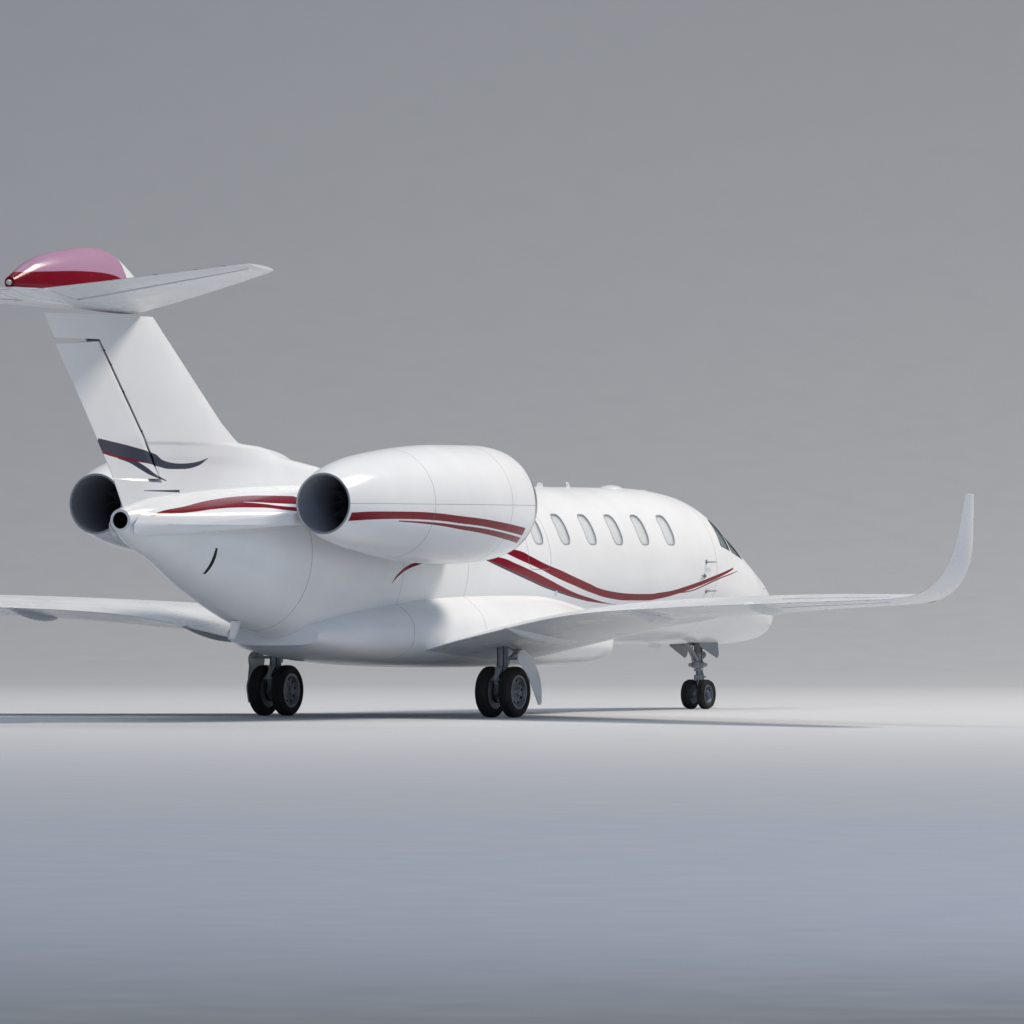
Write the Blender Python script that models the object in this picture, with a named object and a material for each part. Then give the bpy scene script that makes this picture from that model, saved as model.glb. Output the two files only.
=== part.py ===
"""Twin-engine business jet, parked on its gear.

Metres, +Z up. The nose points along -Y and the port side is +X. The origin is on the ground, under the
middle of the bounding box. A station is a distance aft of the nose tip, and a butt line a distance from
the centre plane.
"""

import math
from collections import namedtuple

import bmesh
import bpy
from mathutils import Matrix, Vector

# Driving dimensions
LENGTH = 22.04
HEIGHT = 5.87
FIT = 0.0003  # gap between pieces that touch
RUNNING_GAP = 0.008  # gap round doors and control surfaces
PIN_GAP = 0.0005  # gap at the end of a hinge pin or hub
PIN_RADIUS = 0.006

# Fuselage
RADOME_END = 0.80
NOSE_BAY = 0.55  # from the radome to the cockpit's front
COCKPIT_END = 3.30
CABIN_END = 12.40
BULKHEAD = 10.60  # rear pressure bulkhead
TAIL_HOLLOW_END = 16.60
WALL = 0.08
FRAMES = (RADOME_END, COCKPIT_END, CABIN_END)  # where the shells meet
GLAZING = (1.625, 3.275)
FLOOR_TOP = 1.13
FLOOR_THICK = 0.05
SEAT_TOP = 2.18
CABIN_SEATS = ((5.05, 1), (6.45, -1), (7.15, 1), (8.55, -1))  # station and the way that the seat faces
RING_POINTS = 28

Section = namedtuple("Section", "station half_width top wide bottom")
FUSELAGE = [
    Section(0.00, 0.06, 1.31, 1.25, 1.19),
    Section(0.07, 0.19, 1.44, 1.26, 1.09),
    Section(0.28, 0.335, 1.61, 1.30, 1.01),
    Section(0.80, 0.555, 1.87, 1.40, 0.94),
    Section(1.40, 0.73, 2.12, 1.53, 0.90),
    Section(1.85, 0.84, 2.33, 1.63, 0.89),
    Section(2.40, 0.91, 2.63, 1.75, 0.89),
    Section(2.95, 0.955, 2.86, 1.86, 0.90),
    Section(3.60, 0.975, 2.97, 1.93, 0.90),
    Section(4.50, 0.98, 3.01, 1.96, 0.91),
    Section(12.40, 0.98, 3.01, 1.96, 0.91),
    Section(13.40, 0.95, 3.01, 2.01, 0.93),
    Section(14.60, 0.84, 2.99, 2.13, 1.13),
    Section(15.90, 0.64, 2.93, 2.27, 1.53),
    Section(17.00, 0.41, 2.84, 2.40, 1.96),
    Section(17.60, 0.29, 2.76, 2.45, 2.16),
    Section(18.05, 0.14, 2.65, 2.51, 2.37),
]
# The wing-to-body fairing under the cabin
FAIRING = [
    Section(5.70, 0.45, 1.14, 0.96, 0.76),
    Section(5.86, 0.68, 1.30, 1.00, 0.69),
    Section(6.30, 0.87, 1.46, 1.04, 0.65),
    Section(7.20, 1.07, 1.64, 1.07, 0.64),
    Section(8.50, 1.22, 1.78, 1.10, 0.63),
    Section(10.50, 1.24, 1.76, 1.12, 0.635),
    Section(12.20, 1.16, 1.66, 1.14, 0.70),
    Section(13.40, 0.96, 1.50, 1.12, 0.82),
    Section(14.10, 0.66, 1.26, 1.08, 0.94),
]
FAIRING_SQUARENESS = 0.62

# Cabin windows, one row on each side
WINDOW_COUNT = 7
FIRST_WINDOW = 4.64
WINDOW_PITCH = 0.776
WINDOW_HEIGHT = 2.44
WINDOW_SIZE = (0.29, 0.40)

# Airstair door on the port side, hinged at its sill
DOOR_STATIONS = (3.44, 4.20)
DOOR_HEIGHTS = (1.16, 2.76)
DOOR_TREADS = (1.42, 1.70, 1.98, 2.26)
DOOR_HINGE = ((0.6344, 3.49), (0.6262, 4.15))  # X and station of its ends, along the sill's outer edge
DOOR_HINGE_HEIGHT = 1.157
DOOR_HINGE_RADIUS = 0.0047

# Wing: one row for each rib, from the root to the winglet's tip
Rib = namedtuple("Rib", "butt z_le z_te station_le station_te thickness cant")
WING = [
    Rib(0.92, 1.04, 0.83, 7.58, 12.02, 0.50, 0),
    Rib(1.80, 1.13, 1.04, 8.28, 12.10, 0.45, 3),
    Rib(3.20, 1.27, 1.31, 9.41, 12.30, 0.36, 4),
    Rib(5.00, 1.42, 1.42, 10.85, 13.22, 0.27, 3),
    Rib(7.50, 1.52, 1.50, 12.85, 14.50, 0.19, 2),
    Rib(9.30, 1.555, 1.555, 14.35, 15.42, 0.12, 4),
    Rib(9.68, 1.60, 1.60, 14.70, 15.56, 0.105, 22),
    Rib(9.96, 1.72, 1.72, 14.91, 15.64, 0.095, 42),
    Rib(10.17, 1.93, 1.93, 15.08, 15.69, 0.080, 60),
    Rib(10.33, 2.25, 2.25, 15.27, 15.74, 0.060, 72),
    Rib(10.50, 2.83, 2.83, 15.62, 15.84, 0.030, 78),
]
RIB_CHORDS = (0.0, 0.015, 0.06, 0.16, 0.35, 0.55, 0.75, 1.0)
TRAILING_EDGE = 0.006
FLAP_BUTTS = (1.36, 6.95)
FLAP_CHORD = 0.76  # the share of the chord at which the flap starts
AILERON_BUTTS = (7.05, 9.10)
AILERON_CHORD = 0.76

# Tailplane and fin
STABILISER = [
    Rib(0.05, 5.10, 5.30, 17.62, 20.48, 0.30, 0),
    Rib(1.60, 5.245, 5.39, 19.02, 21.10, 0.22, 0),
    Rib(3.80, 5.45, 5.53, 21.20, 21.97, 0.085, 0),
    Rib(3.98, 5.475, 5.54, 21.45, 22.04, 0.05, 0),
]
ELEVATOR_BUTTS = (0.40, 3.82)
ELEVATOR_CHORD = 0.72
FinRib = namedtuple("FinRib", "z station_le station_te thickness")
FIN = [
    FinRib(2.55, 12.45, 17.90, 0.46),
    FinRib(3.10, 12.75, 18.28, 0.44),
    FinRib(3.34, 13.75, 18.49, 0.42),
    FinRib(3.48, 14.70, 18.61, 0.40),
    FinRib(3.62, 15.36, 18.73, 0.39),
    FinRib(5.04, 17.28, 19.96, 0.30),
]
FIN_TOP = FIN[-1].z
RUDDER_HEIGHTS = (3.03, 4.74)
RUDDER_TOP_GAP = 0.03  # its corners rise as it turns on its slanted hinge
RUDDER_TOP_DROP = 0.05
RUDDER_FOOT_PIN = 0.2513  # down to the tail's skin
RUDDER_HINGE = ((2.97, 17.15), (4.73, 18.80))  # height and station at foot and head
FIN_CAP = [
    Section(17.50, 0.04, 5.24, 5.19, 5.13),
    Section(17.77, 0.15, 5.50, 5.26, 5.10),
    Section(18.07, 0.21, 5.67, 5.30, 5.10),
    Section(18.44, 0.255, 5.82, 5.33, 5.11),
    Section(18.85, 0.27, HEIGHT, 5.35, 5.12),
    Section(19.60, 0.26, 5.81, 5.36, 5.15),
    Section(20.30, 0.18, 5.68, 5.38, 5.20),
    Section(20.80, 0.07, 5.46, 5.39, 5.31),
]

# Engines
ENGINE_X = 1.63
ENGINE_Z = 2.73
DUCT_RADIUS = 0.50
FAN_STATIONS = (11.62, 11.84)
FAN_RADIUS = 0.485
FAN_BLADES = 18
FAN_HUB = 0.15
CORE_STATIONS = (11.90, 14.10, 15.05)
CORE_TAIL_RADIUS = 0.24
# Rows of station and radius round the engine's axis
NACELLE_OUTSIDE = [(11.06, 0.555), (11.09, 0.60), (11.20, 0.65), (11.50, 0.705), (12.00, 0.742), (12.60, 0.755),
                   (13.30, 0.735), (14.10, 0.66), (15.00, 0.52), (15.78, 0.385)]
NACELLE_INSIDE = [(15.78, 0.36), (14.70, 0.40), (14.12, DUCT_RADIUS), (11.36, DUCT_RADIUS), (11.12, 0.49),
                  (11.07, 0.51)]
ENGINE_POINTS = 32

# Landing gear
TRACK = 3.33
MAIN_STATION = 10.96
NOSE_STATION = 1.91
MAIN_TYRE = (0.33, 0.084, 0.205)  # radius, half width and rim radius
NOSE_TYRE = (0.203, 0.056, 0.115)
WHEEL_POINTS = 24
MAIN_TWIN = 0.168  # a tyre's middle from the leg's
NOSE_TWIN = 0.112
MAIN_LEG_RADIUS = 0.075
MAIN_LEG_TOP = 1.02
NOSE_LEG_RADIUS = 0.062
NOSE_LEG_FOOT = 0.56
NOSE_WELL_TOP = 0.955
AXLE_RADIUS = 0.030
AXLE_PLAY = 0.0008

White = (0.80, 0.82, 0.86)
FINISHES = {  # colour, roughness, metallic
    "white_paint": (White, 0.25, 0.0),
    "red_paint": ((0.35, 0.02, 0.03), 0.25, 0.0),
    "bare_metal": ((0.55, 0.56, 0.58), 0.35, 1.0),
    "dark_metal": ((0.08, 0.08, 0.09), 0.5, 0.8),
    "gear_paint": ((0.60, 0.62, 0.66), 0.4, 0.0),
    "rubber": ((0.02, 0.02, 0.02), 0.8, 0.0),
    "leather": ((0.42, 0.33, 0.24), 0.6, 0.0),
    "glass": ((0.05, 0.06, 0.08), 0.05, 0.0),
    "plastic": ((0.10, 0.10, 0.11), 0.6, 0.0),
}


def along(station):
    """The Y of a station."""
    return station - LENGTH / 2


def finish(name):
    """The material of that name, made once."""
    found = bpy.data.materials.get(name)
    if found:
        return found
    colour, roughness, metallic = FINISHES[name]
    made = bpy.data.materials.new(name)
    made.use_nodes = True
    shader = made.node_tree.nodes["Principled BSDF"]
    shader.inputs["Base Color"].default_value = (*colour, 1.0)
    shader.inputs["Roughness"].default_value = roughness
    shader.inputs["Metallic"].default_value = metallic
    return made


def add_object(name, mesh_builder, finish_name):
    """An object that takes a bmesh's shape, with its faces turned outwards."""
    bmesh.ops.recalc_face_normals(mesh_builder, faces=mesh_builder.faces)
    mesh = bpy.data.meshes.new(name)
    mesh_builder.to_mesh(mesh)
    mesh_builder.free()
    mesh.shade_smooth()
    mesh.set_sharp_from_angle(angle=math.radians(35))
    made = bpy.data.objects.new(name, mesh)
    bpy.context.scene.collection.objects.link(made)
    if finish_name:
        mesh.materials.append(finish(finish_name))
    return made


def loft(name, rings, finish_name=None, closed=False):
    """A body through rings of equally many points. Its ends are capped, or joined to each other if closed.
    Each four-sided patch is split along its shorter diagonal, so that a piece and its cutter have one skin."""
    build = bmesh.new()
    rows = [[build.verts.new(point) for point in ring] for ring in rings]
    pairs = list(zip(rows, rows[1:]))
    if closed:
        pairs.append((rows[-1], rows[0]))
    else:
        build.faces.new(rows[0])
        build.faces.new(rows[-1])
    for first, second in pairs:
        for here, after in zip(range(len(first)), [*range(1, len(first)), 0]):
            a, b, c, d = first[here], first[after], second[after], second[here]
            if (a.co - c.co).length > (b.co - d.co).length:
                a, b, c, d = b, c, d, a
            build.faces.new((a, b, c))
            build.faces.new((a, c, d))
    return add_object(name, build, finish_name)


def box(name, low, high, finish_name=None):
    """A box between two corners."""
    build = bmesh.new()
    bmesh.ops.create_cube(build, size=1.0)
    size = Vector(high) - Vector(low)
    middle = (Vector(high) + Vector(low)) / 2
    bmesh.ops.scale(build, vec=size, verts=build.verts)
    bmesh.ops.translate(build, vec=middle, verts=build.verts)
    return add_object(name, build, finish_name)


def rod(name, start, end, radius, finish_name=None, end_radius=None, points=20):
    """A round bar or cone between two points."""
    start, end = Vector(start), Vector(end)
    build = bmesh.new()
    turn = (end - start).to_track_quat("Z", "Y").to_matrix().to_4x4()
    bmesh.ops.create_cone(
        build, cap_ends=True, segments=points, radius1=radius,
        radius2=radius if end_radius is None else end_radius, depth=(end - start).length,
        matrix=Matrix.Translation((start + end) / 2) @ turn,
    )
    return add_object(name, build, finish_name)


def turned(name, profile, centre, axis, finish_name=None, points=ENGINE_POINTS):
    """A profile of (distance along the axis, radius) rows turned round a level axis through centre. Rows go
    round a closed outline, and one with its ends on the axis is closed by it."""
    axis = Vector(axis)
    side = Vector((0, 0, -1))
    build = bmesh.new()
    corners = [build.verts.new(Vector(centre) + axis * far + side * radius) for far, radius in profile]
    edges = [build.edges.new(pair) for pair in zip(corners, corners[1:])]
    if profile[0][1] > 0 or profile[-1][1] > 0:
        edges.append(build.edges.new((corners[-1], corners[0])))
    bmesh.ops.spin(
        build, geom=corners + edges, cent=centre, axis=axis, angle=math.tau, steps=points, use_merge=True
    )
    bmesh.ops.remove_doubles(build, verts=build.verts, dist=1e-5)
    return add_object(name, build, finish_name)


def prism(name, outline, direction, low, high, finish_name=None):
    """An outline of flat points pushed from low to high along X, Y or Z. The points are (Y, Z) for X, (X, Z)
    for Y and (X, Y) for Z."""
    place = {
        "X": lambda p, far: Vector((far, p[0], p[1])),
        "Y": lambda p, far: Vector((p[0], far, p[1])),
        "Z": lambda p, far: Vector((p[0], p[1], far)),
    }[direction]
    return loft(name, [[place(p, far) for p in outline] for far in (low, high)], finish_name)


def combine(target, tool, operation, solver="EXACT"):
    """Adds a Boolean to target and makes tool its hidden helper."""
    tool.hide_render = True
    tool.display_type = "WIRE"
    modifier = target.modifiers.new(operation.lower(), "BOOLEAN")
    modifier.operation = operation
    modifier.solver = solver
    modifier.object = tool
    return target


def cut(target, *tools, solver="EXACT"):
    """Takes each tool's shape out of target."""
    for tool in tools:
        combine(target, tool, "DIFFERENCE", solver)
    return target


def fuse(target, *tools):
    """Joins each tool's shape to target."""
    for tool in tools:
        combine(target, tool, "UNION")
    return target


def mirrored(source, name):
    """A copy of a finished object on the other side of the centre plane."""
    mesh = bpy.data.meshes.new_from_object(source.evaluated_get(bpy.context.evaluated_depsgraph_get()))
    mesh.transform(Matrix.Scale(-1, 4, (1, 0, 0)))
    mesh.flip_normals()
    made = bpy.data.objects.new(name, mesh)
    bpy.context.scene.collection.objects.link(made)
    return made


def section_at(table, station):
    """A table's section at a station, on a smooth curve through its rows."""
    index = next((i for i in range(1, len(table)) if table[i].station >= station), len(table) - 1)
    rows = [table[max(0, min(len(table) - 1, i))] for i in range(index - 2, index + 2)]
    before, start, end, after = rows
    span = end.station - start.station
    share = (station - start.station) / span
    values = []
    for column in range(1, 5):
        slope_in = (end[column] - before[column]) / (end.station - before.station)
        slope_out = (after[column] - start[column]) / (after.station - start.station)
        straight = (end[column] - start[column]) / span
        if straight == 0 or slope_in * straight < 0:
            slope_in = 0.0
        if straight == 0 or slope_out * straight < 0:
            slope_out = 0.0
        cubed, squared = share**3, share**2
        values.append(
            (2 * cubed - 3 * squared + 1) * start[column]
            + (cubed - 2 * squared + share) * span * slope_in
            + (3 * squared - 2 * cubed) * end[column]
            + (cubed - squared) * span * slope_out
        )
    return Section(station, *values)


def oval(section, grow=0.0, squareness=1.0, angles=None):
    """A ring round the section: half an ellipse above its widest line and half below. Squareness under 1
    fills out the lower corners."""
    ring = []
    for angle in angles or [math.tau * i / RING_POINTS for i in range(RING_POINTS)]:
        cosine, sine = math.cos(angle), math.sin(angle)
        if sine < 0 and squareness != 1.0:
            cosine = math.copysign(abs(cosine) ** squareness, cosine)
            sine = -(abs(sine) ** squareness)
        half = section.top - section.wide if sine >= 0 else section.wide - section.bottom
        ring.append(Vector((
            (section.half_width + grow) * cosine, along(section.station), section.wide + (half + grow) * sine,
        )))
    return ring


def body_rings(table, start, end, grow=0.0, squareness=1.0, angles=None):
    """Rings from start to end at the table's stations, and for the fuselage also halfway between them and at
    its frames, so that pieces that touch have the same facets."""
    grid = [row.station for row in table]
    if table is FUSELAGE:
        grid = sorted({*grid, *((a + b) / 2 for a, b in zip(grid, grid[1:])), *FRAMES})
    inner = [station for station in grid if start + 0.01 < station < end - 0.01]
    return [oval(section_at(table, station), grow, squareness, angles) for station in [start, *inner, end]]


def rounded_outline(middle, size, points=16, squareness=0.6):
    """A rounded rectangle's points round its middle."""
    outline = []
    for index in range(points):
        angle = math.tau * (index + 0.5) / points
        cosine, sine = math.cos(angle), math.sin(angle)
        outline.append((
            middle[0] + size[0] / 2 * math.copysign(abs(cosine) ** squareness, cosine),
            middle[1] + size[1] / 2 * math.copysign(abs(sine) ** squareness, sine),
        ))
    return outline


def half_thickness(share):
    """Half an aerofoil's thickness at a share of its chord, for a full thickness of 1."""
    return 5 * (0.2969 * math.sqrt(share) - 0.126 * share - 0.3516 * share**2 + 0.2843 * share**3
                - 0.1015 * share**4)


def rib_between(ribs, butt):
    """The rib at a butt line, on straight lines between the table's rows."""
    for start, end in zip(ribs, ribs[1:]):
        if start.butt <= butt <= end.butt:
            share = (butt - start.butt) / (end.butt - start.butt)
            return Rib(*(a + (b - a) * share for a, b in zip(start, end)))
    raise ValueError("the butt line is outside the table")


def rib_point(rib, side, share, lift):
    """A point at a share of the chord, lifted off the chord line along the rib's own up direction."""
    lean = math.radians(rib.cant)
    height = rib.z_le + (rib.z_te - rib.z_le) * share
    station = rib.station_le + (rib.station_te - rib.station_le) * share
    return Vector((side * (rib.butt - lift * math.sin(lean)), along(station), height + lift * math.cos(lean)))


def rib_ring(rib, side, grow=0.0):
    """The aerofoil outline of a rib."""
    upper = []
    lower = []
    chord = rib.station_te - rib.station_le
    for share in RIB_CHORDS:
        lift = max(half_thickness(share) * rib.thickness, TRAILING_EDGE / 2) + grow
        spread = share + (grow / chord if share == 1.0 else 0.0)
        upper.append(rib_point(rib, side, spread, lift))
        lower.append(rib_point(rib, side, spread, -lift))
    nose = rib_point(rib, side, -grow / chord, 0.0)
    return [nose, *upper[1:], *reversed(lower[1:])]


def surface_ribs(ribs, side, grow=0.0):
    """Rings for a wing or tailplane."""
    return [rib_ring(rib, side, grow) for rib in ribs]


def flap_ring(rib, side, hinge_share, radius):
    """The outline of a control surface with a round nose about its hinge, tapering to the trailing edge."""
    chord = rib.station_te - rib.station_le
    nose = [
        rib_point(rib, side, hinge_share - radius * math.cos(angle) / chord, radius * math.sin(angle))
        for angle in [math.radians(a) for a in (-75, -45, -15, 15, 45, 75)]
    ]
    lift = half_thickness(0.88) * rib.thickness
    edge = TRAILING_EDGE / 2
    upper = [rib_point(rib, side, 0.88, lift), rib_point(rib, side, 1.0, edge)]
    lower = [rib_point(rib, side, 1.0, -edge), rib_point(rib, side, 0.88, -lift)]
    return [*nose, *upper, *lower]


def hinge_line(ribs, side, butts, hinge_share):
    """The two ends of a control surface's hinge line."""
    return [rib_point(rib_between(ribs, butt), side, hinge_share, 0.0) for butt in butts]


def hinge_shares(ribs, butts, hinge_share):
    """The surface's ribs with the share of each chord at which the straight hinge line crosses it."""
    inner, outer = (rib_between(ribs, butt) for butt in butts)
    start = inner.station_le + (inner.station_te - inner.station_le) * hinge_share
    end = outer.station_le + (outer.station_te - outer.station_le) * hinge_share
    crossed = []
    for rib in [inner, *[row for row in ribs if butts[0] < row.butt < butts[1]], outer]:
        station = start + (end - start) * (rib.butt - butts[0]) / (butts[1] - butts[0])
        crossed.append((rib, (station - rib.station_le) / (rib.station_te - rib.station_le)))
    return crossed


def control_surface(name, ribs, side, butts, hinge_share):
    """A control surface between two butt lines, and the helper that cuts its bay from the fixed part."""
    crossed = hinge_shares(ribs, butts, hinge_share)
    rings = []
    bay = []
    for index, (rib, share) in enumerate(crossed):
        depth = half_thickness(share) * rib.thickness
        rings.append(flap_ring(rib, side, share, 0.92 * depth))
        outward = {0: -1, len(crossed) - 1: 1}.get(index, 0) * 2 * RUNNING_GAP
        moved = rib._replace(butt=rib.butt + outward)
        front = share - (depth + 1.5 * RUNNING_GAP) / (rib.station_te - rib.station_le)
        reach = 0.5
        bay.append([rib_point(moved, side, front, reach), rib_point(moved, side, 1.3, reach),
                    rib_point(moved, side, 1.3, -reach), rib_point(moved, side, front, -reach)])
    surface = loft(name, rings, "white_paint")
    inner, outer = hinge_line(ribs, side, butts, hinge_share)
    fuse(surface, *hinge_pins(name, inner, outer, 2 * RUNNING_GAP, "X"))
    return surface, loft(name + "_bay", bay)


def hinge_pins(name, start, end, clearance, wall_normal):
    """Helpers for a pin at each end of a hinge line, reaching from inside the surface nearly to walls that
    stand a clearance away, square to the given axis."""
    column = "XYZ".index(wall_normal)
    way = (end - start).normalized()
    slope = abs(way[column])
    reach = (clearance - PIN_GAP) / slope - PIN_RADIUS * math.sqrt(1 - slope**2) / slope
    return [rod(f"{name}_pin_{index}", tip - out * 0.05, tip + out * reach, PIN_RADIUS, points=12)
            for index, (tip, out) in enumerate(((start, -way), (end, way)))]


def plan_prism(name, ribs, side, butts, chord_share, low=0.3, high=2.4, back=0.4):
    """A helper over the part of a wing that lies aft of a share of the chord, between two butt lines."""
    ends = [rib_between(ribs, butt) for butt in butts]
    middle = [row for row in ribs if butts[0] < row.butt < butts[1]]
    span = [ends[0], *middle, ends[1]]
    rings = []
    for rib in span:
        front = along(rib.station_le + (rib.station_te - rib.station_le) * chord_share)
        rear = along(rib.station_te) + back
        x = side * rib.butt
        rings.append([Vector((x, front, high)), Vector((x, rear, high)), Vector((x, rear, low)),
                      Vector((x, front, low))])
    return loft(name, rings)


def fuselage_cutter(name):
    """The fuselage's outside grown by a fit, to cut what rests against it."""
    return loft(name, body_rings(FUSELAGE, 0.28, 18.05, FIT))


def make_radome():
    """The nose cone, which closes the nose ahead of the front frame."""
    return loft("radome", body_rings(FUSELAGE, 0.0, RADOME_END), "white_paint")


def windscreen_cutters():
    """Helpers for the two front panes and the two side panes of each side."""
    tools = []
    for side in (-1, 1):
        front = [(0.035, 1.93), (0.50, 2.10), (0.56, 2.62), (0.035, 2.66)]
        tools.append(prism(f"front_pane_{side}", [(side * x, along(s)) for x, s in front], "Z", 1.95, 3.2))
        forward = [(2.08, 2.05), (2.62, 2.16), (2.62, 2.56), (2.46, 2.50)]
        rear = [(2.70, 2.17), (3.05, 2.24), (2.98, 2.58), (2.70, 2.57)]
        for index, outline in enumerate((forward, rear)):
            low, high = (0.56, 1.3) if side > 0 else (-1.3, -0.56)
            tools.append(prism(f"side_pane_{side}_{index}", [(along(s), z) for s, z in outline], "X", low, high))
    return tools


def make_forward_fuselage():
    """The cockpit's shell: closed at the front frame and open to the cabin, with its windows and nose well."""
    inner = body_rings(FUSELAGE, RADOME_END + NOSE_BAY, COCKPIT_END, -WALL)
    outer = body_rings(FUSELAGE, RADOME_END + FIT, COCKPIT_END)
    shell = loft("forward_fuselage", [*inner, *reversed(outer)], "white_paint")
    well = box("nose_well", (-0.21, along(NOSE_STATION) - 0.16, 0.5),
               (0.21, along(NOSE_STATION) + 0.70, NOSE_WELL_TOP))
    pad = rod("nose_jack_pad", (0, along(3.0), 0.95), (0, along(3.0), 0.865), 0.05)
    return fuse(cut(shell, well, *windscreen_cutters()), pad)


def make_cockpit_glazing():
    """The panes as one curved sheet behind the posts."""
    angles = [math.tau * i / RING_POINTS for i in range(1, RING_POINTS // 2)]
    start, end = GLAZING
    outside = body_rings(FUSELAGE, start, end, -WALL - FIT, angles=angles)
    inside = body_rings(FUSELAGE, start, end, -WALL - 0.012, angles=angles)
    rings = [[*outer, *reversed(inner)] for outer, inner in zip(outside, inside)]
    return loft("cockpit_glazing", rings, "glass")


def window_cutters():
    """Helpers for the cabin windows."""
    tools = []
    for index in range(WINDOW_COUNT):
        middle = (along(FIRST_WINDOW + index * WINDOW_PITCH), WINDOW_HEIGHT)
        for side, low, high in (("left", 0.6, 1.3), ("right", -1.3, -0.6)):
            outline = rounded_outline(middle, WINDOW_SIZE, 12)
            tools.append(prism(f"window_{side}_{index}", outline, "X", low, high))
    return tools


def door_region(name, gap):
    """A helper over the door's opening, grown by a gap."""
    low = (0.30, along(DOOR_STATIONS[0]) - gap, DOOR_HEIGHTS[0] - gap)
    high = (1.40, along(DOOR_STATIONS[1]) + gap, DOOR_HEIGHTS[1] + gap)
    return box(name, low, high)


def make_cabin_fuselage():
    """The cabin's shell, open to the cockpit and closed by the rear pressure bulkhead."""
    inner = body_rings(FUSELAGE, COCKPIT_END + FIT, BULKHEAD, -WALL)
    outer = body_rings(FUSELAGE, COCKPIT_END + FIT, CABIN_END)
    shell = loft("cabin_fuselage", [*reversed(inner), *outer], "white_paint")
    aft_bay = loft("aft_bay", body_rings(FUSELAGE, BULKHEAD + WALL, CABIN_END + 0.2, -WALL))
    return cut(shell, aft_bay, *window_cutters(), door_region("door_opening", RUNNING_GAP))


def make_entry_door():
    """The airstair door: its piece of the shell, with treads inside."""
    inner = body_rings(FUSELAGE, COCKPIT_END + 0.05, DOOR_STATIONS[1] + 0.2, -WALL)
    outer = body_rings(FUSELAGE, COCKPIT_END + 0.05, DOOR_STATIONS[1] + 0.2)
    door = loft("entry_door", [*reversed(inner), *outer], "white_paint", closed=True)
    combine(door, door_region("door_shape", 0.0), "INTERSECT")
    width = (along(DOOR_STATIONS[0]) + 0.09, along(DOOR_STATIONS[1]) - 0.09)
    for index, height in enumerate(DOOR_TREADS):
        section = section_at(FUSELAGE, 3.8)
        half = (section.wide - section.bottom) if height < section.wide else (section.top - section.wide)
        skin = section.half_width * math.sqrt(1 - ((height - section.wide) / half) ** 2)
        tread = box(f"tread_{index}", (skin - WALL - 0.20, width[0], height), (skin - 0.03, width[1], height + 0.04))
        fuse(door, tread)
    hinge = [Vector((x, along(station), DOOR_HINGE_HEIGHT)) for x, station in DOOR_HINGE]
    return fuse(door, rod("door_hinge", *hinge, DOOR_HINGE_RADIUS, points=12))


def make_tail_fuselage():
    """The tail's shell, open at its front, with the auxiliary unit's exhaust in its end."""
    inner = body_rings(FUSELAGE, CABIN_END + FIT, TAIL_HOLLOW_END, -0.05)
    outer = body_rings(FUSELAGE, CABIN_END + FIT, FUSELAGE[-1].station)
    shell = loft("tail_fuselage", [*reversed(inner), *outer], "white_paint")
    end = FUSELAGE[-1]
    exhaust = rod("exhaust_bore", (0, along(end.station - 0.35), end.wide), (0, along(end.station + 0.1), end.wide),
                  0.105)
    return cut(shell, exhaust)


def make_belly_fairing():
    """The fairing that carries the wing's root under the cabin."""
    rings = body_rings(FAIRING, FAIRING[0].station, FAIRING[-1].station, squareness=FAIRING_SQUARENESS)
    fairing = loft("belly_fairing", rings, "white_paint")
    tools = [fuselage_cutter("body_for_fairing")]
    for name, side in (("left", 1), ("right", -1)):
        root = WING[0]._replace(butt=WING[0].butt - FIT)
        tools.append(loft(f"wing_root_{name}", surface_ribs([root, *WING[1:3]], side, 2 * FIT)))
    return cut(fairing, *tools)


def lower_surface(ribs, butt, station):
    """The height of a wing's lower face."""
    rib = rib_between(ribs, butt)
    share = (station - rib.station_le) / (rib.station_te - rib.station_le)
    return rib.z_le + (rib.z_te - rib.z_le) * share - half_thickness(share) * rib.thickness


def make_wing(name, side):
    """A wing with its winglet, its flap as a fixed piece and its aileron."""
    wing = loft(f"wing_{name}", surface_ribs(WING, side), "white_paint")
    flap = loft(f"flap_{name}", surface_ribs(WING[:6], side), "white_paint")
    combine(flap, plan_prism(f"flap_shape_{name}", WING, side, FLAP_BUTTS, FLAP_CHORD), "INTERSECT")
    grown = (FLAP_BUTTS[0] - 0.004, FLAP_BUTTS[1] + 0.004)
    flap_bay = plan_prism(f"flap_bay_{name}", WING, side, grown, FLAP_CHORD - 0.0002)
    aileron, aileron_bay = control_surface(f"aileron_{name}", WING, side, AILERON_BUTTS, AILERON_CHORD)
    leg_x = side * TRACK / 2
    socket = rod(f"leg_socket_{name}", (leg_x, along(MAIN_STATION), 0.5), (leg_x, along(MAIN_STATION), MAIN_LEG_TOP + FIT),
                 MAIN_LEG_RADIUS + FIT)
    pad_butt, pad_station = 3.0, 10.7
    foot = lower_surface(WING, pad_butt, pad_station)
    pad = rod(f"wing_jack_pad_{name}", (side * pad_butt, along(pad_station), foot + 0.08),
              (side * pad_butt, along(pad_station), foot - 0.02), 0.05)
    fuse(cut(wing, flap_bay, aileron_bay, socket), pad)
    return wing, flap, aileron


def make_stabiliser():
    """The tailplane across the fin's top, with its elevators."""
    right = surface_ribs(list(reversed(STABILISER)), -1)
    left = surface_ribs(STABILISER, 1)
    tailplane = loft("stabiliser", [*right, *left], "white_paint")
    for name, side in (("left", 1), ("right", -1)):
        _, bay = control_surface(f"elevator_{name}", STABILISER, side, ELEVATOR_BUTTS, ELEVATOR_CHORD)
        cut(tailplane, bay)
    return tailplane


def tailplane_cutter(name):
    """The tailplane grown by a fit, without its elevators."""
    inner = [rib for rib in STABILISER if rib.butt < 1.7]
    return loft(name, [*surface_ribs(list(reversed(inner)), -1, FIT), *surface_ribs(inner, 1, FIT)])


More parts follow.
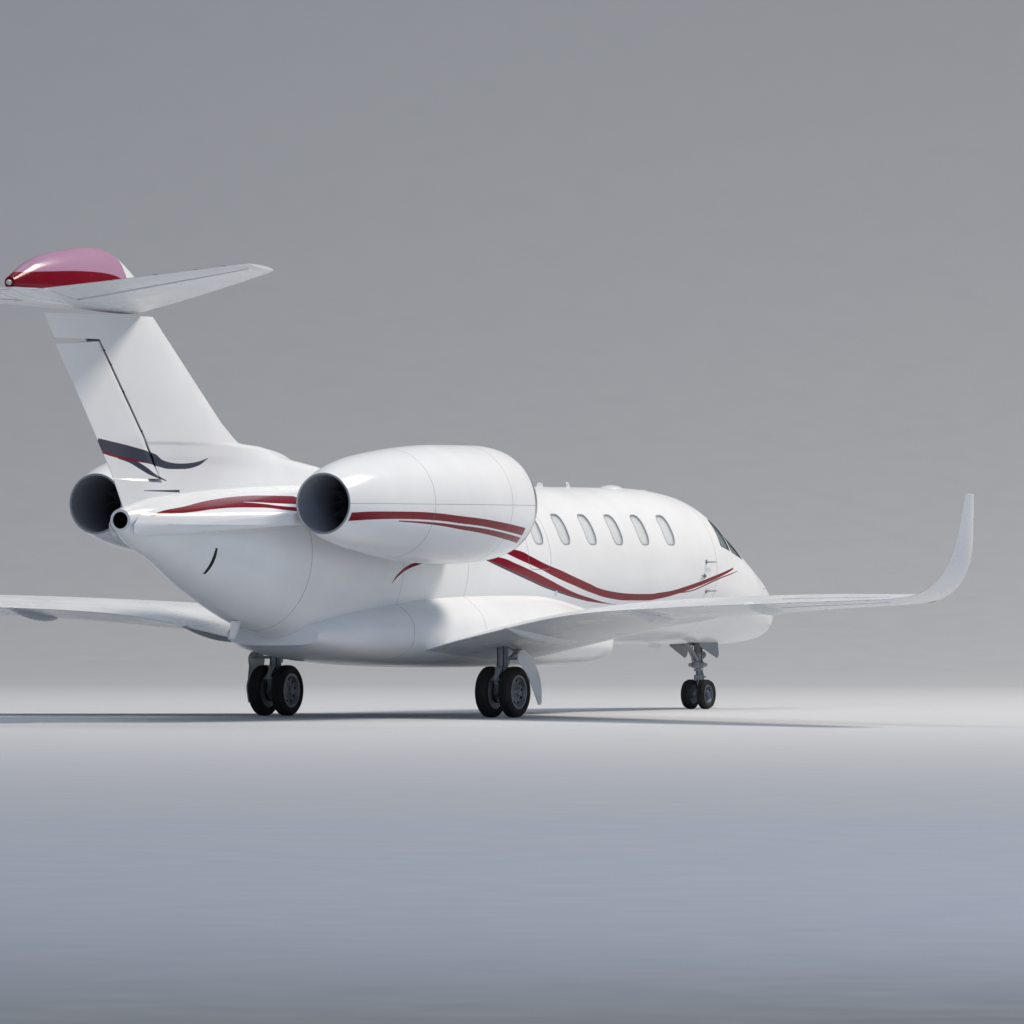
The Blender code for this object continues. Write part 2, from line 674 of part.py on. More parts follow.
def fin_ring(rib, grow=0.0):
    """The aerofoil outline of a fin rib, level at its height."""
    chord = rib.station_te - rib.station_le
    shares = (0.0, 0.012, 0.05, 0.14, 0.32, 0.52, 0.70, 0.86, 1.0)
    left = []
    for share in shares:
        width = max(half_thickness(share) * rib.thickness, TRAILING_EDGE / 2) + grow
        left.append((width, along(rib.station_le + chord * share)))
    right = [(-x, y) for x, y in reversed(left[1:])]
    return [Vector((x, y, rib.z)) for x, y in [(0.0, left[0][1]), *left[1:], *right]]


def fin_at(height):
    """The fin's rib at a height."""
    for start, end in zip(FIN, FIN[1:]):
        if start.z <= height <= end.z:
            share = (height - start.z) / (end.z - start.z)
            return FinRib(*(a + (b - a) * share for a, b in zip(start, end)))
    raise ValueError("the height is outside the table")


def hinge_station(height):
    """The station of the rudder's hinge line at a height."""
    (low, foot), (high, head) = RUDDER_HINGE
    return foot + (head - foot) * (height - low) / (high - low)


def rudder_ring(height, drop):
    """The rudder's outline at a height, its trailing edge lowered by drop."""
    rib = fin_at(height)
    chord = rib.station_te - rib.station_le
    hinge = hinge_station(height)
    share = (hinge - rib.station_le) / chord
    radius = half_thickness(share) * rib.thickness * 0.92
    points = []
    for angle in [math.radians(a) for a in (-75, -45, -15, 15, 45, 75)]:
        points.append((radius * math.sin(angle), hinge - radius * math.cos(angle)))
    aft = (share + 1) / 2
    wide = half_thickness(aft) * rib.thickness
    edge = TRAILING_EDGE / 2
    points += [(wide, rib.station_le + chord * aft), (edge, rib.station_te), (-edge, rib.station_te),
               (-wide, rib.station_le + chord * aft)]
    reach = rib.station_te - hinge
    return [Vector((x, along(s), height - drop * max(0.0, (s - hinge) / reach))) for x, s in points]


def make_fin():
    """The fin with its dorsal fairing, and the rudder."""
    fin = loft("fin", [fin_ring(rib) for rib in FIN], "white_paint")
    low, high = RUDDER_HEIGHTS
    rudder = loft("rudder", [rudder_ring(low, 0.0), rudder_ring(FIN[4].z, 0.0), rudder_ring(high - RUDDER_TOP_GAP, RUDDER_TOP_DROP)],
                  "white_paint")
    foot, head = (Vector((0, along(hinge_station(z)), z)) for z in (low, high - RUDDER_TOP_GAP))
    way = (head - foot).normalized()
    fuse(rudder, rod("rudder_head_pin", head - way * 0.05, head + way * 0.0346, PIN_RADIUS, points=12),
         rod("rudder_foot_pin", foot + way * 0.05, foot - way * RUDDER_FOOT_PIN, 0.016, points=12))
    bay = []
    for height in (low - 0.45, high):
        front = hinge_station(height) - 0.125
        bay.append([Vector((x, along(s), height)) for x, s in
                    ((0.6, front), (0.6, front + 4), (-0.6, front + 4), (-0.6, front))])
    cut(fin, loft("rudder_bay", bay), fuselage_cutter("body_for_fin"), tailplane_cutter("tailplane_for_fin"))
    return fin, rudder


def make_fin_cap():
    """The rounded fairing over the joint of fin and tailplane."""
    cap = loft("fin_cap", body_rings(FIN_CAP, FIN_CAP[0].station, FIN_CAP[-1].station), "red_paint")
    fin_top = loft("fin_for_cap", [fin_ring(FIN[-2], FIT), fin_ring(FIN[-1]._replace(z=FIN_TOP + FIT), FIT)])
    return cut(cap, tailplane_cutter("tailplane_for_cap"), fin_top)


def nacelle_solid(name, x, grow):
    """The nacelle's outside as a plug, to cut what rests against it."""
    rows = [(station, radius + grow) for station, radius in NACELLE_OUTSIDE]
    profile = [(rows[0][0], 0.0), *rows, (rows[-1][0] + grow, rows[-1][1]), (rows[-1][0] + grow, 0.0)]
    return turned(name, profile, (x, along(0.0), ENGINE_Z), (0, 1, 0))


def make_engine(name, side):
    """A nacelle, the engine's core as a plain block, and the fan."""
    x = side * ENGINE_X
    centre = (x, along(0.0), ENGINE_Z)
    turned(f"nacelle_{name}", [*NACELLE_OUTSIDE, *NACELLE_INSIDE], centre, (0, 1, 0), "white_paint")
    front, shoulder, tail = CORE_STATIONS
    core = [(front, 0.0), (front, DUCT_RADIUS - FIT), (shoulder, DUCT_RADIUS - FIT), (tail, CORE_TAIL_RADIUS), (tail, 0.0)]
    turned(f"engine_core_{name}", core, centre, (0, 1, 0), "dark_metal")
    make_fan(f"fan_{name}", x)


def make_pylons():
    """The two pylons. The right one is the left one mirrored."""
    outline = [(11.75, 2.72), (12.1, 2.60), (13.0, 2.52), (15.2, 2.50), (16.4, 2.56), (17.2, 2.68), (16.4, 2.80),
               (15.2, 2.90), (13.0, 2.92), (12.1, 2.86)]
    root = [Vector((0.25, along(s), z)) for s, z in outline]
    tip = [Vector((1.28, along(11.85 + (s - 11.75) * 3.5 / 5.45), z)) for s, z in outline]
    pylon = loft("pylon_left", [root, tip], "white_paint")
    # Two curved skins meet the pylon at a slant, where the EXACT solver loses the sign of one side
    cut(pylon, fuselage_cutter("body_for_pylon"), nacelle_solid("nacelle_for_pylon", ENGINE_X, FIT), solver="MANIFOLD")
    mirrored(pylon, "pylon_right")


def make_fan(name, x):
    """The fan: twisted blades round a hub with a pointed spinner."""
    front, rear = (along(s) for s in FAN_STATIONS)
    pitch = math.tau / FAN_BLADES
    root, tip = FAN_HUB, FAN_RADIUS
    # Rows of Y, twist in blade pitches, and the radius of the hub's and the blades' corners
    rows = [(front - 0.20, 0.0, 0.01, 0.01), (front - 0.004, 0.0, root, root),
            (front, 0.0, root, tip), (rear, 0.6, root, tip), (along(CORE_STATIONS[0]) - PIN_GAP, 0.6, root, root)]
    rings = []
    for y, twist, hub, blade_tip in rows:
        ring = []
        for blade in range(FAN_BLADES):
            for share, radius in ((0.0, hub), (0.12, blade_tip), (0.42, blade_tip), (0.54, hub)):
                angle = (blade + twist + share) * pitch
                ring.append(Vector((x + radius * math.cos(angle), y, ENGINE_Z + radius * math.sin(angle))))
        rings.append(ring)
    return loft(name, rings, "bare_metal")


def wheel_profile(tyre, twin):
    """The half outline of an axle with its two rims, as (distance along the axle, radius) rows."""
    _, half, rim = tyre
    edge = half * 0.86
    inner, outer = twin - edge, twin + edge
    flange = rim + 0.018
    right = [(inner, AXLE_RADIUS), (inner, rim * 0.72), (inner, flange), (inner + 0.012, flange),
             (inner + 0.012, rim), (outer - 0.012, rim), (outer - 0.012, flange), (outer, flange),
             (outer, rim * 0.80), (outer - half * 0.5, rim * 0.62), (outer - half * 0.35, 0.055),
             (outer + 0.008, 0.045), (outer + 0.008, 0.0)]
    left = [(-far, radius) for far, radius in reversed(right)]
    return [*left, *right]


def tyre_profile(tyre, twin):
    """A tyre's closed outline, seated on its rim."""
    radius, half, rim = tyre
    seat = rim + FIT
    edge = half * 0.86 - 0.012 - FIT
    wall = rim + 0.018 + 0.004
    return [(twin - edge, seat), (twin - edge, wall), (twin - half, (wall + radius) / 2),
            (twin - half * 0.80, radius - 0.028), (twin - half * 0.35, radius), (twin + half * 0.35, radius),
            (twin + half * 0.80, radius - 0.028), (twin + half, (wall + radius) / 2), (twin + edge, wall),
            (twin + edge, seat)]


def make_wheels(label, tyre, twin, x, station):
    """Two rims on one turning axle, with their tyres."""
    centre = (x, along(station), tyre[0])
    turned(f"{label}_wheels", wheel_profile(tyre, twin), centre, (1, 0, 0), "bare_metal", WHEEL_POINTS)
    for end, way in (("inner", -1), ("outer", 1)):
        direction = way * (1 if x >= 0 else -1)
        turned(f"{label}_tyre_{end}", tyre_profile(tyre, twin), centre, (direction, 0, 0), "rubber", WHEEL_POINTS)


def axle_eye(name, x, station, height, radius, half_length):
    """The round block that holds an axle, and the helper for its bore."""
    y = along(station)
    block = rod(name, (x - half_length, y, height), (x + half_length, y, height), radius)
    bore = rod(f"{name}_bore", (x - 0.3, y, height), (x + 0.3, y, height), AXLE_RADIUS + AXLE_PLAY)
    return block, bore


def make_nose_gear():
    """The nose leg, the steered fork with the wheels, and the bay's doors."""
    y = along(NOSE_STATION)
    leg = rod("nose_gear_leg", (0, y, NOSE_WELL_TOP - FIT), (0, y, NOSE_LEG_FOOT), NOSE_LEG_RADIUS, "gear_paint")
    collar = rod("nose_collar", (0, y, NOSE_LEG_FOOT), (0, y, NOSE_LEG_FOOT + 0.09), NOSE_LEG_RADIUS + 0.025)
    brace = rod("nose_brace", (0, y + 0.02, 0.68), (0, y + 0.40, NOSE_WELL_TOP - 0.026), 0.026)
    fuse(leg, collar, brace)
    height = NOSE_TYRE[0]
    eye, bore = axle_eye("nose_eye", 0.0, NOSE_STATION, height, AXLE_RADIUS + 0.022, NOSE_TWIN - NOSE_TYRE[1] * 0.86 - 0.006)
    fork = rod("nose_gear_fork", (0, y, NOSE_LEG_FOOT - FIT), (0, y, height), 0.036, "bare_metal")
    lug = box("tow_lug", (-0.03, y - 0.10, 0.415), (0.03, y, 0.455))
    cut(fuse(fork, eye, lug), bore)
    make_wheels("nose", NOSE_TYRE, NOSE_TWIN, 0.0, NOSE_STATION)
    for name, side in (("left", 1), ("right", -1)):
        outline = [(side * 0.212, 0.94), (side * 0.226, 0.94), (side * 0.250, 0.80), (side * 0.250, 0.66),
                   (side * 0.238, 0.66), (side * 0.238, 0.80), (side * 0.2105, 0.90)]
        door = prism(f"nose_gear_door_{name}", outline, "Y", y - 0.14, y + 0.30, "white_paint")
        cut(door, fuselage_cutter(f"body_for_nose_door_{name}"))


def make_main_gear(name, side):
    """A main leg with its door, and the twin wheels on their axle."""
    x, y = side * TRACK / 2, along(MAIN_STATION)
    height = MAIN_TYRE[0]
    leg = rod(f"main_gear_leg_{name}", (x, y, MAIN_LEG_TOP), (x, y, 0.60), MAIN_LEG_RADIUS, "gear_paint")
    piston = rod(f"main_piston_{name}", (x, y, 0.65), (x, y, height), 0.050)
    eye, bore = axle_eye(f"main_eye_{name}", x, MAIN_STATION, height, AXLE_RADIUS + 0.030,
                         MAIN_TWIN - MAIN_TYRE[1] * 0.86 - 0.006)
    brace = rod(f"main_brace_{name}", (x, y, 0.72), (x, y - 0.42, 0.84), 0.028)
    arm = box(f"door_arm_{name}", (min(x, x + side * 0.283), y - 0.03, 0.74), (max(x, x + side * 0.283), y + 0.03, 0.78))
    cut(fuse(leg, piston, eye, brace, arm), bore)
    outline = [(0.262, 0.86), (0.2835, 0.79), (0.2835, 0.70), (0.330, 0.55), (0.380, 0.40), (0.405, 0.27), (0.427, 0.27),
               (0.402, 0.405), (0.352, 0.56), (0.3055, 0.70), (0.3055, 0.79), (0.284, 0.86)]
    points = [(x + side * out, z) for out, z in outline]
    prism(f"main_gear_door_{name}", points, "Y", y - 0.23, y + 0.19, "white_paint")
    make_wheels(f"main_{name}", MAIN_TYRE, MAIN_TWIN, x, MAIN_STATION)


def floor_reach(station):
    """Half the width of a floor laid in the fuselage at a station."""
    section = section_at(FUSELAGE, station)
    depth = section.wide - section.bottom - WALL
    drop = section.wide - FLOOR_TOP + FLOOR_THICK
    return (section.half_width - WALL) * math.sqrt(1 - (drop / depth) ** 2) - 0.012


def seat_boxes(label, side, station, facing):
    """A seat's pedestal, cushion and back. Facing is -1 where it looks forward."""
    y = along(station)
    foot = sorted((side * 0.20, side * 0.38))
    wide = sorted((side * 0.20, side * 0.66))
    back = sorted((y - facing * 0.24, y - facing * 0.12))
    return [
        box(f"{label}_pedestal", (foot[0], y - 0.16, FLOOR_TOP - 0.02), (foot[1], y + 0.16, 1.45)),
        box(f"{label}_cushion", (wide[0], y - 0.24, 1.42), (wide[1], y + 0.24, 1.58)),
        box(f"{label}_back", (wide[0], back[0], 1.55), (wide[1], back[1], SEAT_TOP)),
    ]


def make_cabin_interior():
    """The cabin floor with its seats, as one piece."""
    start, end = COCKPIT_END + 0.02, BULKHEAD - FIT
    reach = floor_reach(5.0)
    floor = box("cabin_floor_and_seats", (-reach, along(start), FLOOR_TOP - FLOOR_THICK),
                (reach, along(end), FLOOR_TOP), "leather")
    for station, facing in CABIN_SEATS:
        for side in (-1, 1):
            fuse(floor, *seat_boxes(f"seat_{station}_{side}", side, station, facing))
    return floor


def make_cockpit_interior():
    """The cockpit floor with the two seats and the instrument panel, as one piece."""
    start = RADOME_END + NOSE_BAY
    reach = floor_reach(start)
    floor = box("cockpit_seats_and_panel", (-reach, along(start) + FIT, FLOOR_TOP - FLOOR_THICK),
                (reach, along(COCKPIT_END), FLOOR_TOP), "plastic")
    pedestal = box("pedestal", (-0.13, along(1.62), FLOOR_TOP - 0.02), (0.13, along(2.40), 1.55))
    panel = box("instrument_panel", (-0.55, along(1.62), 1.47), (0.55, along(1.80), 1.90))
    seats = [piece for side in (-1, 1) for piece in seat_boxes(f"pilot_{side}", side, 2.70, -1)]
    return fuse(floor, pedestal, panel, *seats)


def clear_scene():
    """Removes whatever the scene starts with."""
    for found in list(bpy.data.objects):
        bpy.data.objects.remove(found, do_unlink=True)


def main():
    clear_scene()
    make_radome()
    make_forward_fuselage()
    make_cockpit_glazing()
    make_cabin_fuselage()
    make_entry_door()
    make_tail_fuselage()
    make_belly_fairing()
    make_stabiliser()
    make_fin()
    make_fin_cap()
    make_nose_gear()
    make_cabin_interior()
    make_cockpit_interior()
    make_pylons()
    for name, side in (("left", 1), ("right", -1)):
        make_wing(name, side)
        make_engine(name, side)
        make_main_gear(name, side)


main()
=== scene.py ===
"""Looks of a twin-engine business jet, parked on its gear.

Metres, +Z up, nose towards -Y, port side +X. A station is a distance aft of the nose tip, and a butt line a
distance from the centre plane.
"""

from __future__ import annotations

import logging
from dataclasses import dataclass, field
from enum import Enum
from math import ceil, copysign, cos, exp, hypot, pi, radians, sin, sqrt, tau
from typing import Callable, Iterable, Sequence

import bmesh
import bpy
from mathutils import Matrix, Vector

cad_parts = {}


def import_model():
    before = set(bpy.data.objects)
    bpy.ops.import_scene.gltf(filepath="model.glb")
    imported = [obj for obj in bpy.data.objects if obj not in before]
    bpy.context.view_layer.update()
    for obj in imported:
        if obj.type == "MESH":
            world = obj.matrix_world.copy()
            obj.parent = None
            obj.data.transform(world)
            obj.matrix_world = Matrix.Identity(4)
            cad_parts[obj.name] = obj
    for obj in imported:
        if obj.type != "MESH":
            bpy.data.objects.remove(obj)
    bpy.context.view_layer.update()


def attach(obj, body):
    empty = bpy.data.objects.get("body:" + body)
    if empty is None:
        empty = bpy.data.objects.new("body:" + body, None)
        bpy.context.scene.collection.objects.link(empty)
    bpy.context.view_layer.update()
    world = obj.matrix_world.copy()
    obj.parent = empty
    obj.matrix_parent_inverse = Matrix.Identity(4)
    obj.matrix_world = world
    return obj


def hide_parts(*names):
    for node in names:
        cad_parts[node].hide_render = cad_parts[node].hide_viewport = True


LOG = logging.getLogger("business_jet")
LENGTH = 22.04
AIRFRAME = "airframe"
SIDES = ((1, "left"), (-1, "right"))

Point = tuple[float, float]
Rings = list[list[Vector]]
Tree, Socket, Piece, Face = bpy.types.NodeTree, bpy.types.NodeSocket, bpy.types.Object, bmesh.types.BMFace


def along(station: float) -> float:
    """Returns the Y of a station."""
    return station - LENGTH / 2


def spread(start: float, end: float, pitch: float) -> list[float]:
    """Even steps from start to end.

    Args:
        start: First value.
        end: Last value.
        pitch: Longest step.

    Returns:
        The values, with both ends.
    """
    steps = max(1, ceil(abs(end - start) / pitch))
    return [start + (end - start) * step / steps for step in range(steps + 1)]


def eased(count: int) -> list[float]:
    """Returns count + 1 shares from 0 to 1 that crowd at both ends."""
    return [(1 - cos(pi * step / count)) / 2 for step in range(count + 1)]


def turns(count: int) -> list[float]:
    """Returns the angles of even steps round a circle."""
    return [tau * step / count for step in range(count)]


def half_thickness(share: float) -> float:
    """Returns half an aerofoil's thickness at a share of its chord, for a full thickness of 1."""
    return 5 * (0.2969 * sqrt(share) - 0.126 * share - 0.3516 * share**2 + 0.2843 * share**3 - 0.1015 * share**4)


def edges_at(corners: Iterable[bmesh.types.BMVert]) -> list[bmesh.types.BMEdge]:
    """Returns the edges at corners, each once and in the same order at each run."""
    return list(dict.fromkeys(edge for corner in corners for edge in corner.link_edges))


def hermite(share: float) -> tuple[float, float, float, float]:
    """Returns a cubic's weights for its start, the slope there, its end and the slope there."""
    square, cube = share**2, share**3
    return 2 * cube - 3 * square + 1, cube - 2 * square + share, 3 * square - 2 * cube, cube - square


def eased_path(points: Sequence[Sequence[float]], steps: int) -> list[Vector]:
    """A smooth path through points.

    Args:
        points: What it passes through.
        steps: Steps from each point to the next.

    Returns:
        The path.
    """
    rows = [Vector(point) for point in points]
    path = []
    for index, (start, end) in enumerate(zip(rows, rows[1:])):
        before, after = rows[max(0, index - 1)], rows[min(len(rows) - 1, index + 2)]
        for share in (step / steps for step in range(steps)):
            leave, depart, reach, arrive = hermite(share)
            path.append(start * leave + end * reach + (end - before) * 0.5 * depart
                + (after - start) * 0.5 * arrive)
    return path + rows[-1:]


@dataclass(frozen=True)
class Track:
    """Rows of numbers, the first of which is a place, joined by a smooth curve that doesn't overshoot."""

    rows: tuple[tuple[float, ...], ...]

    def at(self, place: float) -> tuple[float, ...]:
        """The row at a place.

        Args:
            place: A value of the first column, held to the table's range.

        Returns:
            The place followed by the other columns there.
        """
        rows = self.rows
        place = min(max(place, rows[0][0]), rows[-1][0])
        index = next(i for i in range(1, len(rows)) if rows[i][0] >= place)
        before, start, end, after = (rows[max(0, min(len(rows) - 1, i))] for i in range(index - 2, index + 2))
        span = end[0] - start[0]
        leave, depart, reach, arrive = hermite((place - start[0]) / span)
        values = [place]
        for column in range(1, len(start)):
            straight = (end[column] - start[column]) / span
            slopes = [(end[column] - before[column]) / (end[0] - before[0]),
                (after[column] - start[column]) / (after[0] - start[0])]
            first, last = (0.0 if slope * straight <= 0 else slope for slope in slopes)
            values.append(leave * start[column] + depart * span * first + reach * end[column]
                + arrive * span * last)
        return tuple(values)


# Station, half width, top, height of the widest line, bottom
FUSELAGE = Track(((0, 0.06, 1.31, 1.25, 1.17), (0.07, 0.2, 1.45, 1.26, 1.05), (0.28, 0.345, 1.65, 1.3, 0.965),
    (0.8, 0.565, 1.9, 1.4, 0.91), (1.4, 0.735, 2.13, 1.53, 0.89), (1.85, 0.83, 2.32, 1.63, 0.885),
    (2.4, 0.895, 2.605, 1.75, 0.89), (2.95, 0.955, 2.86, 1.86, 0.9), (3.6, 0.975, 2.97, 1.93, 0.9),
    (4.5, 0.98, 3.01, 1.96, 0.91), (12.4, 0.98, 3.01, 1.96, 0.91), (13.4, 0.95, 3.01, 2.01, 0.93),
    (14.6, 0.84, 2.99, 2.13, 1.13), (15.9, 0.64, 2.93, 2.27, 1.53), (17.0, 0.41, 2.84, 2.4, 1.96),
    (17.6, 0.29, 2.76, 2.45, 2.16), (18.05, 0.14, 2.65, 2.51, 2.37),))
FAIRING = Track(((5.7, 0.45, 1.14, 0.96, 0.76), (5.86, 0.68, 1.3, 1.0, 0.69), (6.3, 0.87, 1.46, 1.04, 0.65),
    (7.2, 1.07, 1.64, 1.07, 0.64), (8.5, 1.22, 1.78, 1.1, 0.63), (10.5, 1.24, 1.76, 1.12, 0.635),
    (12.2, 1.16, 1.66, 1.14, 0.7), (13.4, 0.96, 1.5, 1.12, 0.82), (14.1, 0.66, 1.26, 1.08, 0.94),))
FIN_CAP = Track(((17.5, 0.04, 5.24, 5.19, 5.13), (17.77, 0.15, 5.5, 5.26, 5.1), (18.07, 0.21, 5.67, 5.3, 5.1),
    (18.44, 0.255, 5.82, 5.33, 5.11), (18.85, 0.27, 5.87, 5.35, 5.12), (19.6, 0.26, 5.81, 5.36, 5.15),
    (20.3, 0.18, 5.68, 5.38, 5.2), (20.8, 0.07, 5.46, 5.39, 5.31),))
# Butt line, height and station of the leading and trailing edges, thickness, lean in degrees
WING = Track(((0.92, 1.04, 0.83, 7.58, 12.02, 0.5, 0), (1.8, 1.13, 1.04, 8.28, 12.1, 0.45, 3),
    (3.2, 1.27, 1.31, 9.41, 12.3, 0.36, 4), (5.0, 1.42, 1.42, 10.85, 13.22, 0.27, 3),
    (7.5, 1.52, 1.5, 12.85, 14.5, 0.19, 2), (9.3, 1.555, 1.555, 14.35, 15.42, 0.12, 4), (9.68, 1.6, 1.6, 14.7,
    15.56, 0.105, 22), (9.96, 1.72, 1.72, 14.91, 15.64, 0.095, 42), (10.17, 1.93, 1.93, 15.08, 15.69, 0.08, 60),
    (10.33, 2.25, 2.25, 15.27, 15.74, 0.06, 72), (10.5, 2.83, 2.83, 15.62, 15.84, 0.03, 78),))
TAILPLANE = Track(((0.05, 5.1, 5.3, 17.62, 20.48, 0.26, 0), (1.6, 5.245, 5.39, 19.02, 21.1, 0.19, 0), (3.8, 5.45,
    5.53, 21.2, 21.97, 0.08, 0), (3.98, 5.475, 5.54, 21.4, 22.04, 0.045, 0),))
# Height, station of the leading and trailing edges, thickness
FIN = Track(((2.55, 12.45, 17.9, 0.46), (3.1, 12.68, 18.28, 0.44), (3.2, 12.9, 18.367, 0.433),
    (3.265, 13.4, 18.423, 0.428), (3.31, 13.78, 18.462, 0.425), (3.38, 14.13, 18.523, 0.42),
    (3.455, 14.5, 18.588, 0.414), (3.485, 14.98, 18.614, 0.41), (3.505, 15.1, 18.631, 0.407),
    (3.67, 15.4, 18.774, 0.387), (3.75, 15.536, 18.843, 0.382), (5.04, 17.28, 19.96, 0.3),))
# Station, top and bottom of the pylon's outline at the fuselage
PYLON = Track(((11.75, 2.72, 2.72), (11.85, 2.79, 2.65), (12.1, 2.86, 2.6), (13.0, 2.92, 2.52), (15.2, 2.9, 2.47),
    (16.4, 2.8, 2.4), (17.2, 2.7, 2.33), (17.68, 2.61, 2.31), (17.8, 2.54, 2.36), (17.85, 2.46, 2.44),))


class Mould:
    """A mesh under construction, with the steps that most pieces share. Faces made since the last call of
    dress take the finish whose place in the piece's list that call gives."""

    def __init__(self) -> None:
        """Starts an empty mesh."""
        self.mesh = bmesh.new()
        self.dressed = self.mesh.faces.layers.int.new("dressed")

    def ring(self, points: Sequence[Vector]) -> list[bmesh.types.BMEdge]:
        """A closed ring.

        Args:
            points: Its corners, in order.

        Returns:
            The ring's edges.
        """
        made = bmesh.ops.create_circle(self.mesh, segments=len(points), radius=1.0)["verts"]
        for corner, point in zip(made, points):
            corner.co = point
        return edges_at(made)

    def skin(self, rings: Rings, caps: tuple[bool, bool] = (True, True), loop: bool = False) -> Mould:
        """A surface through rings of equally many corners.

        Args:
            rings: The rings, in order.
            caps: Whether the first and the last ring are filled.
            loop: Whether the last ring joins the first, in place of caps.

        Returns:
            This mould.
        """
        rows = [self.ring(ring) for ring in rings]
        pairs = list(zip(rows, rows[1:])) + ([(rows[-1], rows[0])] if loop else [])
        for first, second in pairs:
            bmesh.ops.bridge_loops(self.mesh, edges=first + second)
        if not loop:
            for edges, wanted in ((rows[0], caps[0]), (rows[-1], caps[1])):
                if wanted:
                    bmesh.ops.edgeloop_fill(self.mesh, edges=edges)
        return self

    def turn(self, outline: Sequence[Point], centre: Sequence[float], axis: Sequence[float], steps: int = 72,
        closed: bool = False) -> Mould:
        """An outline turned round a line.

        Args:
            outline: Distance along the line and radius, for each corner.
            centre: Where the distance is nothing.
            axis: The line's direction.
            steps: Facets round.
            closed: Whether the outline's last corner joins its first.

        Returns:
            This mould.
        """
        way = Vector(axis).normalized()
        side = way.orthogonal().normalized()
        corners = [self.mesh.verts.new(Vector(centre) + way * far + side * radius) for far, radius in outline]
        ends = corners[1:] + (corners[:1] if closed else [])
        edges = [self.mesh.edges.new(pair) for pair in zip(corners, ends)]
        bmesh.ops.spin(self.mesh, geom=corners + edges, cent=centre, axis=way, angle=tau, steps=steps,
            use_merge=True)
        return self

    def box(self, low: Sequence[float], high: Sequence[float], bevel: float = 0.0, segments: int = 3) -> Mould:
        """A box with rounded edges.

        Args:
            low: Its lowest corner.
            high: Its highest corner.
            bevel: The edges' radius.
            segments: Facets of each rounding.

        Returns:
            This mould.
        """
        made = bmesh.ops.create_cube(self.mesh, size=1.0)["verts"]
        size = Vector(high) - Vector(low)
        bmesh.ops.scale(self.mesh, vec=size, verts=made)
        bmesh.ops.translate(self.mesh, vec=(Vector(high) + Vector(low)) / 2, verts=made)
        if bevel:
            bmesh.ops.bevel(self.mesh, geom=edges_at(made), offset=bevel, offset_type="OFFSET", segments=segments,
                profile=0.5, affect="EDGES", material=-1, clamp_overlap=True)
        return self

    def rod(self, start: Sequence[float], end: Sequence[float], radius: float, end_radius: float | None = None,
        sides: int = 24) -> Mould:
        """A round bar or cone.

        Args:
            start: Middle of one end.
            end: Middle of the other end.
            radius: Radius at the start.
            end_radius: Radius at the end, the same if not given.
            sides: Facets round.

        Returns:
            This mould.
        """
        first, last = Vector(start), Vector(end)
        turn = (last - first).to_track_quat("Z", "Y").to_matrix().to_4x4()
        bmesh.ops.create_cone(self.mesh, cap_ends=True, segments=sides, radius1=radius, radius2=radius
            if end_radius is None else end_radius, depth=(last - first).length,
            matrix=Matrix.Translation((first + last) / 2) @ turn)
        return self

    def pipe(self, path: Sequence[Sequence[float]], radius: float, sides: int = 10) -> Mould:
        """A bent pipe.

        Args:
            path: Points along its middle.
            radius: Its radius.
            sides: Facets round.

        Returns:
            This mould.
        """
        points = [Vector(point) for point in path]
        rings = []
        for index, point in enumerate(points):
            way = (points[min(index + 1, len(points) - 1)] - points[max(index - 1, 0)]).normalized()
            side = way.cross(Vector((0.3, 0.2, 0.93))).normalized()
            other = way.cross(side)
            rings.append([point + (side * cos(turn) + other * sin(turn)) * radius for turn in turns(sides)])
        return self.skin(rings)

    def prism(self, outline: Sequence[Point], direction: str, low: float, high: float) -> Mould:
        """A flat outline pushed along X, Y or Z.

        Args:
            outline: Its corners, as (Y, Z), (X, Z) or (X, Y).
            direction: X, Y or Z.
            low: Where it starts.
            high: Where it ends.

        Returns:
            This mould.
        """
        place = {"X": lambda p, far: Vector((far, p[0], p[1])), "Y": lambda p, far: Vector((p[0], far, p[1])),
            "Z": lambda p, far: Vector((p[0], p[1], far))}[direction]
        return self.skin([[place(point, far) for point in outline] for far in (low, high)])

    def beam(self, start: Sequence[float], end: Sequence[float], start_half: float, end_half: float,
        thick: float) -> Mould:
        """A flat bar in the plane of X and its own run, as a link is.

        Args:
            start: Middle of one end.
            end: Middle of the other end.
            start_half: Half its width along X at the start.
            end_half: Half its width along X at the end.
            thick: Its thickness.

        Returns:
            This mould.
        """
        first, last = Vector(start), Vector(end)
        off = (last - first).cross(Vector((1, 0, 0))).normalized() * thick / 2
        return self.skin([[spot + Vector((way * half, 0, 0)) + off * up
            for way, up in ((1, 1), (-1, 1), (-1, -1), (1, -1))] for spot, half in ((first, start_half),
            (last, end_half))])

    def repeat(self, count: int, centre: Sequence[float], axis: Sequence[float]) -> Mould:
        """Copies what there is round a line.

        Args:
            count: How many there are in the end.
            centre: A point of the line.
            axis: The line's direction.

        Returns:
            This mould.
        """
        source = self.mesh.verts[:] + self.mesh.edges[:] + self.mesh.faces[:]
        for step in range(1, count):
            made = bmesh.ops.duplicate(self.mesh, geom=source)["geom"]
            corners = [item for item in made if isinstance(item, bmesh.types.BMVert)]
            bmesh.ops.rotate(self.mesh, verts=corners, cent=centre,
                matrix=Matrix.Rotation(tau * step / count, 3, Vector(axis)))
        return self

    def dress(self, finish: int, test: Callable[[Face], bool] | None = None) -> Mould:
        """Gives faces a finish.

        Args:
            finish: The finish's place in the piece's list.
            test: Which faces, or else all made since the last call without one.

        Returns:
            This mould.
        """
        for face in self.mesh.faces:
            if test(face) if test else not face[self.dressed]:
                face.material_index = finish
            if not test:
                face[self.dressed] = 1
        return self

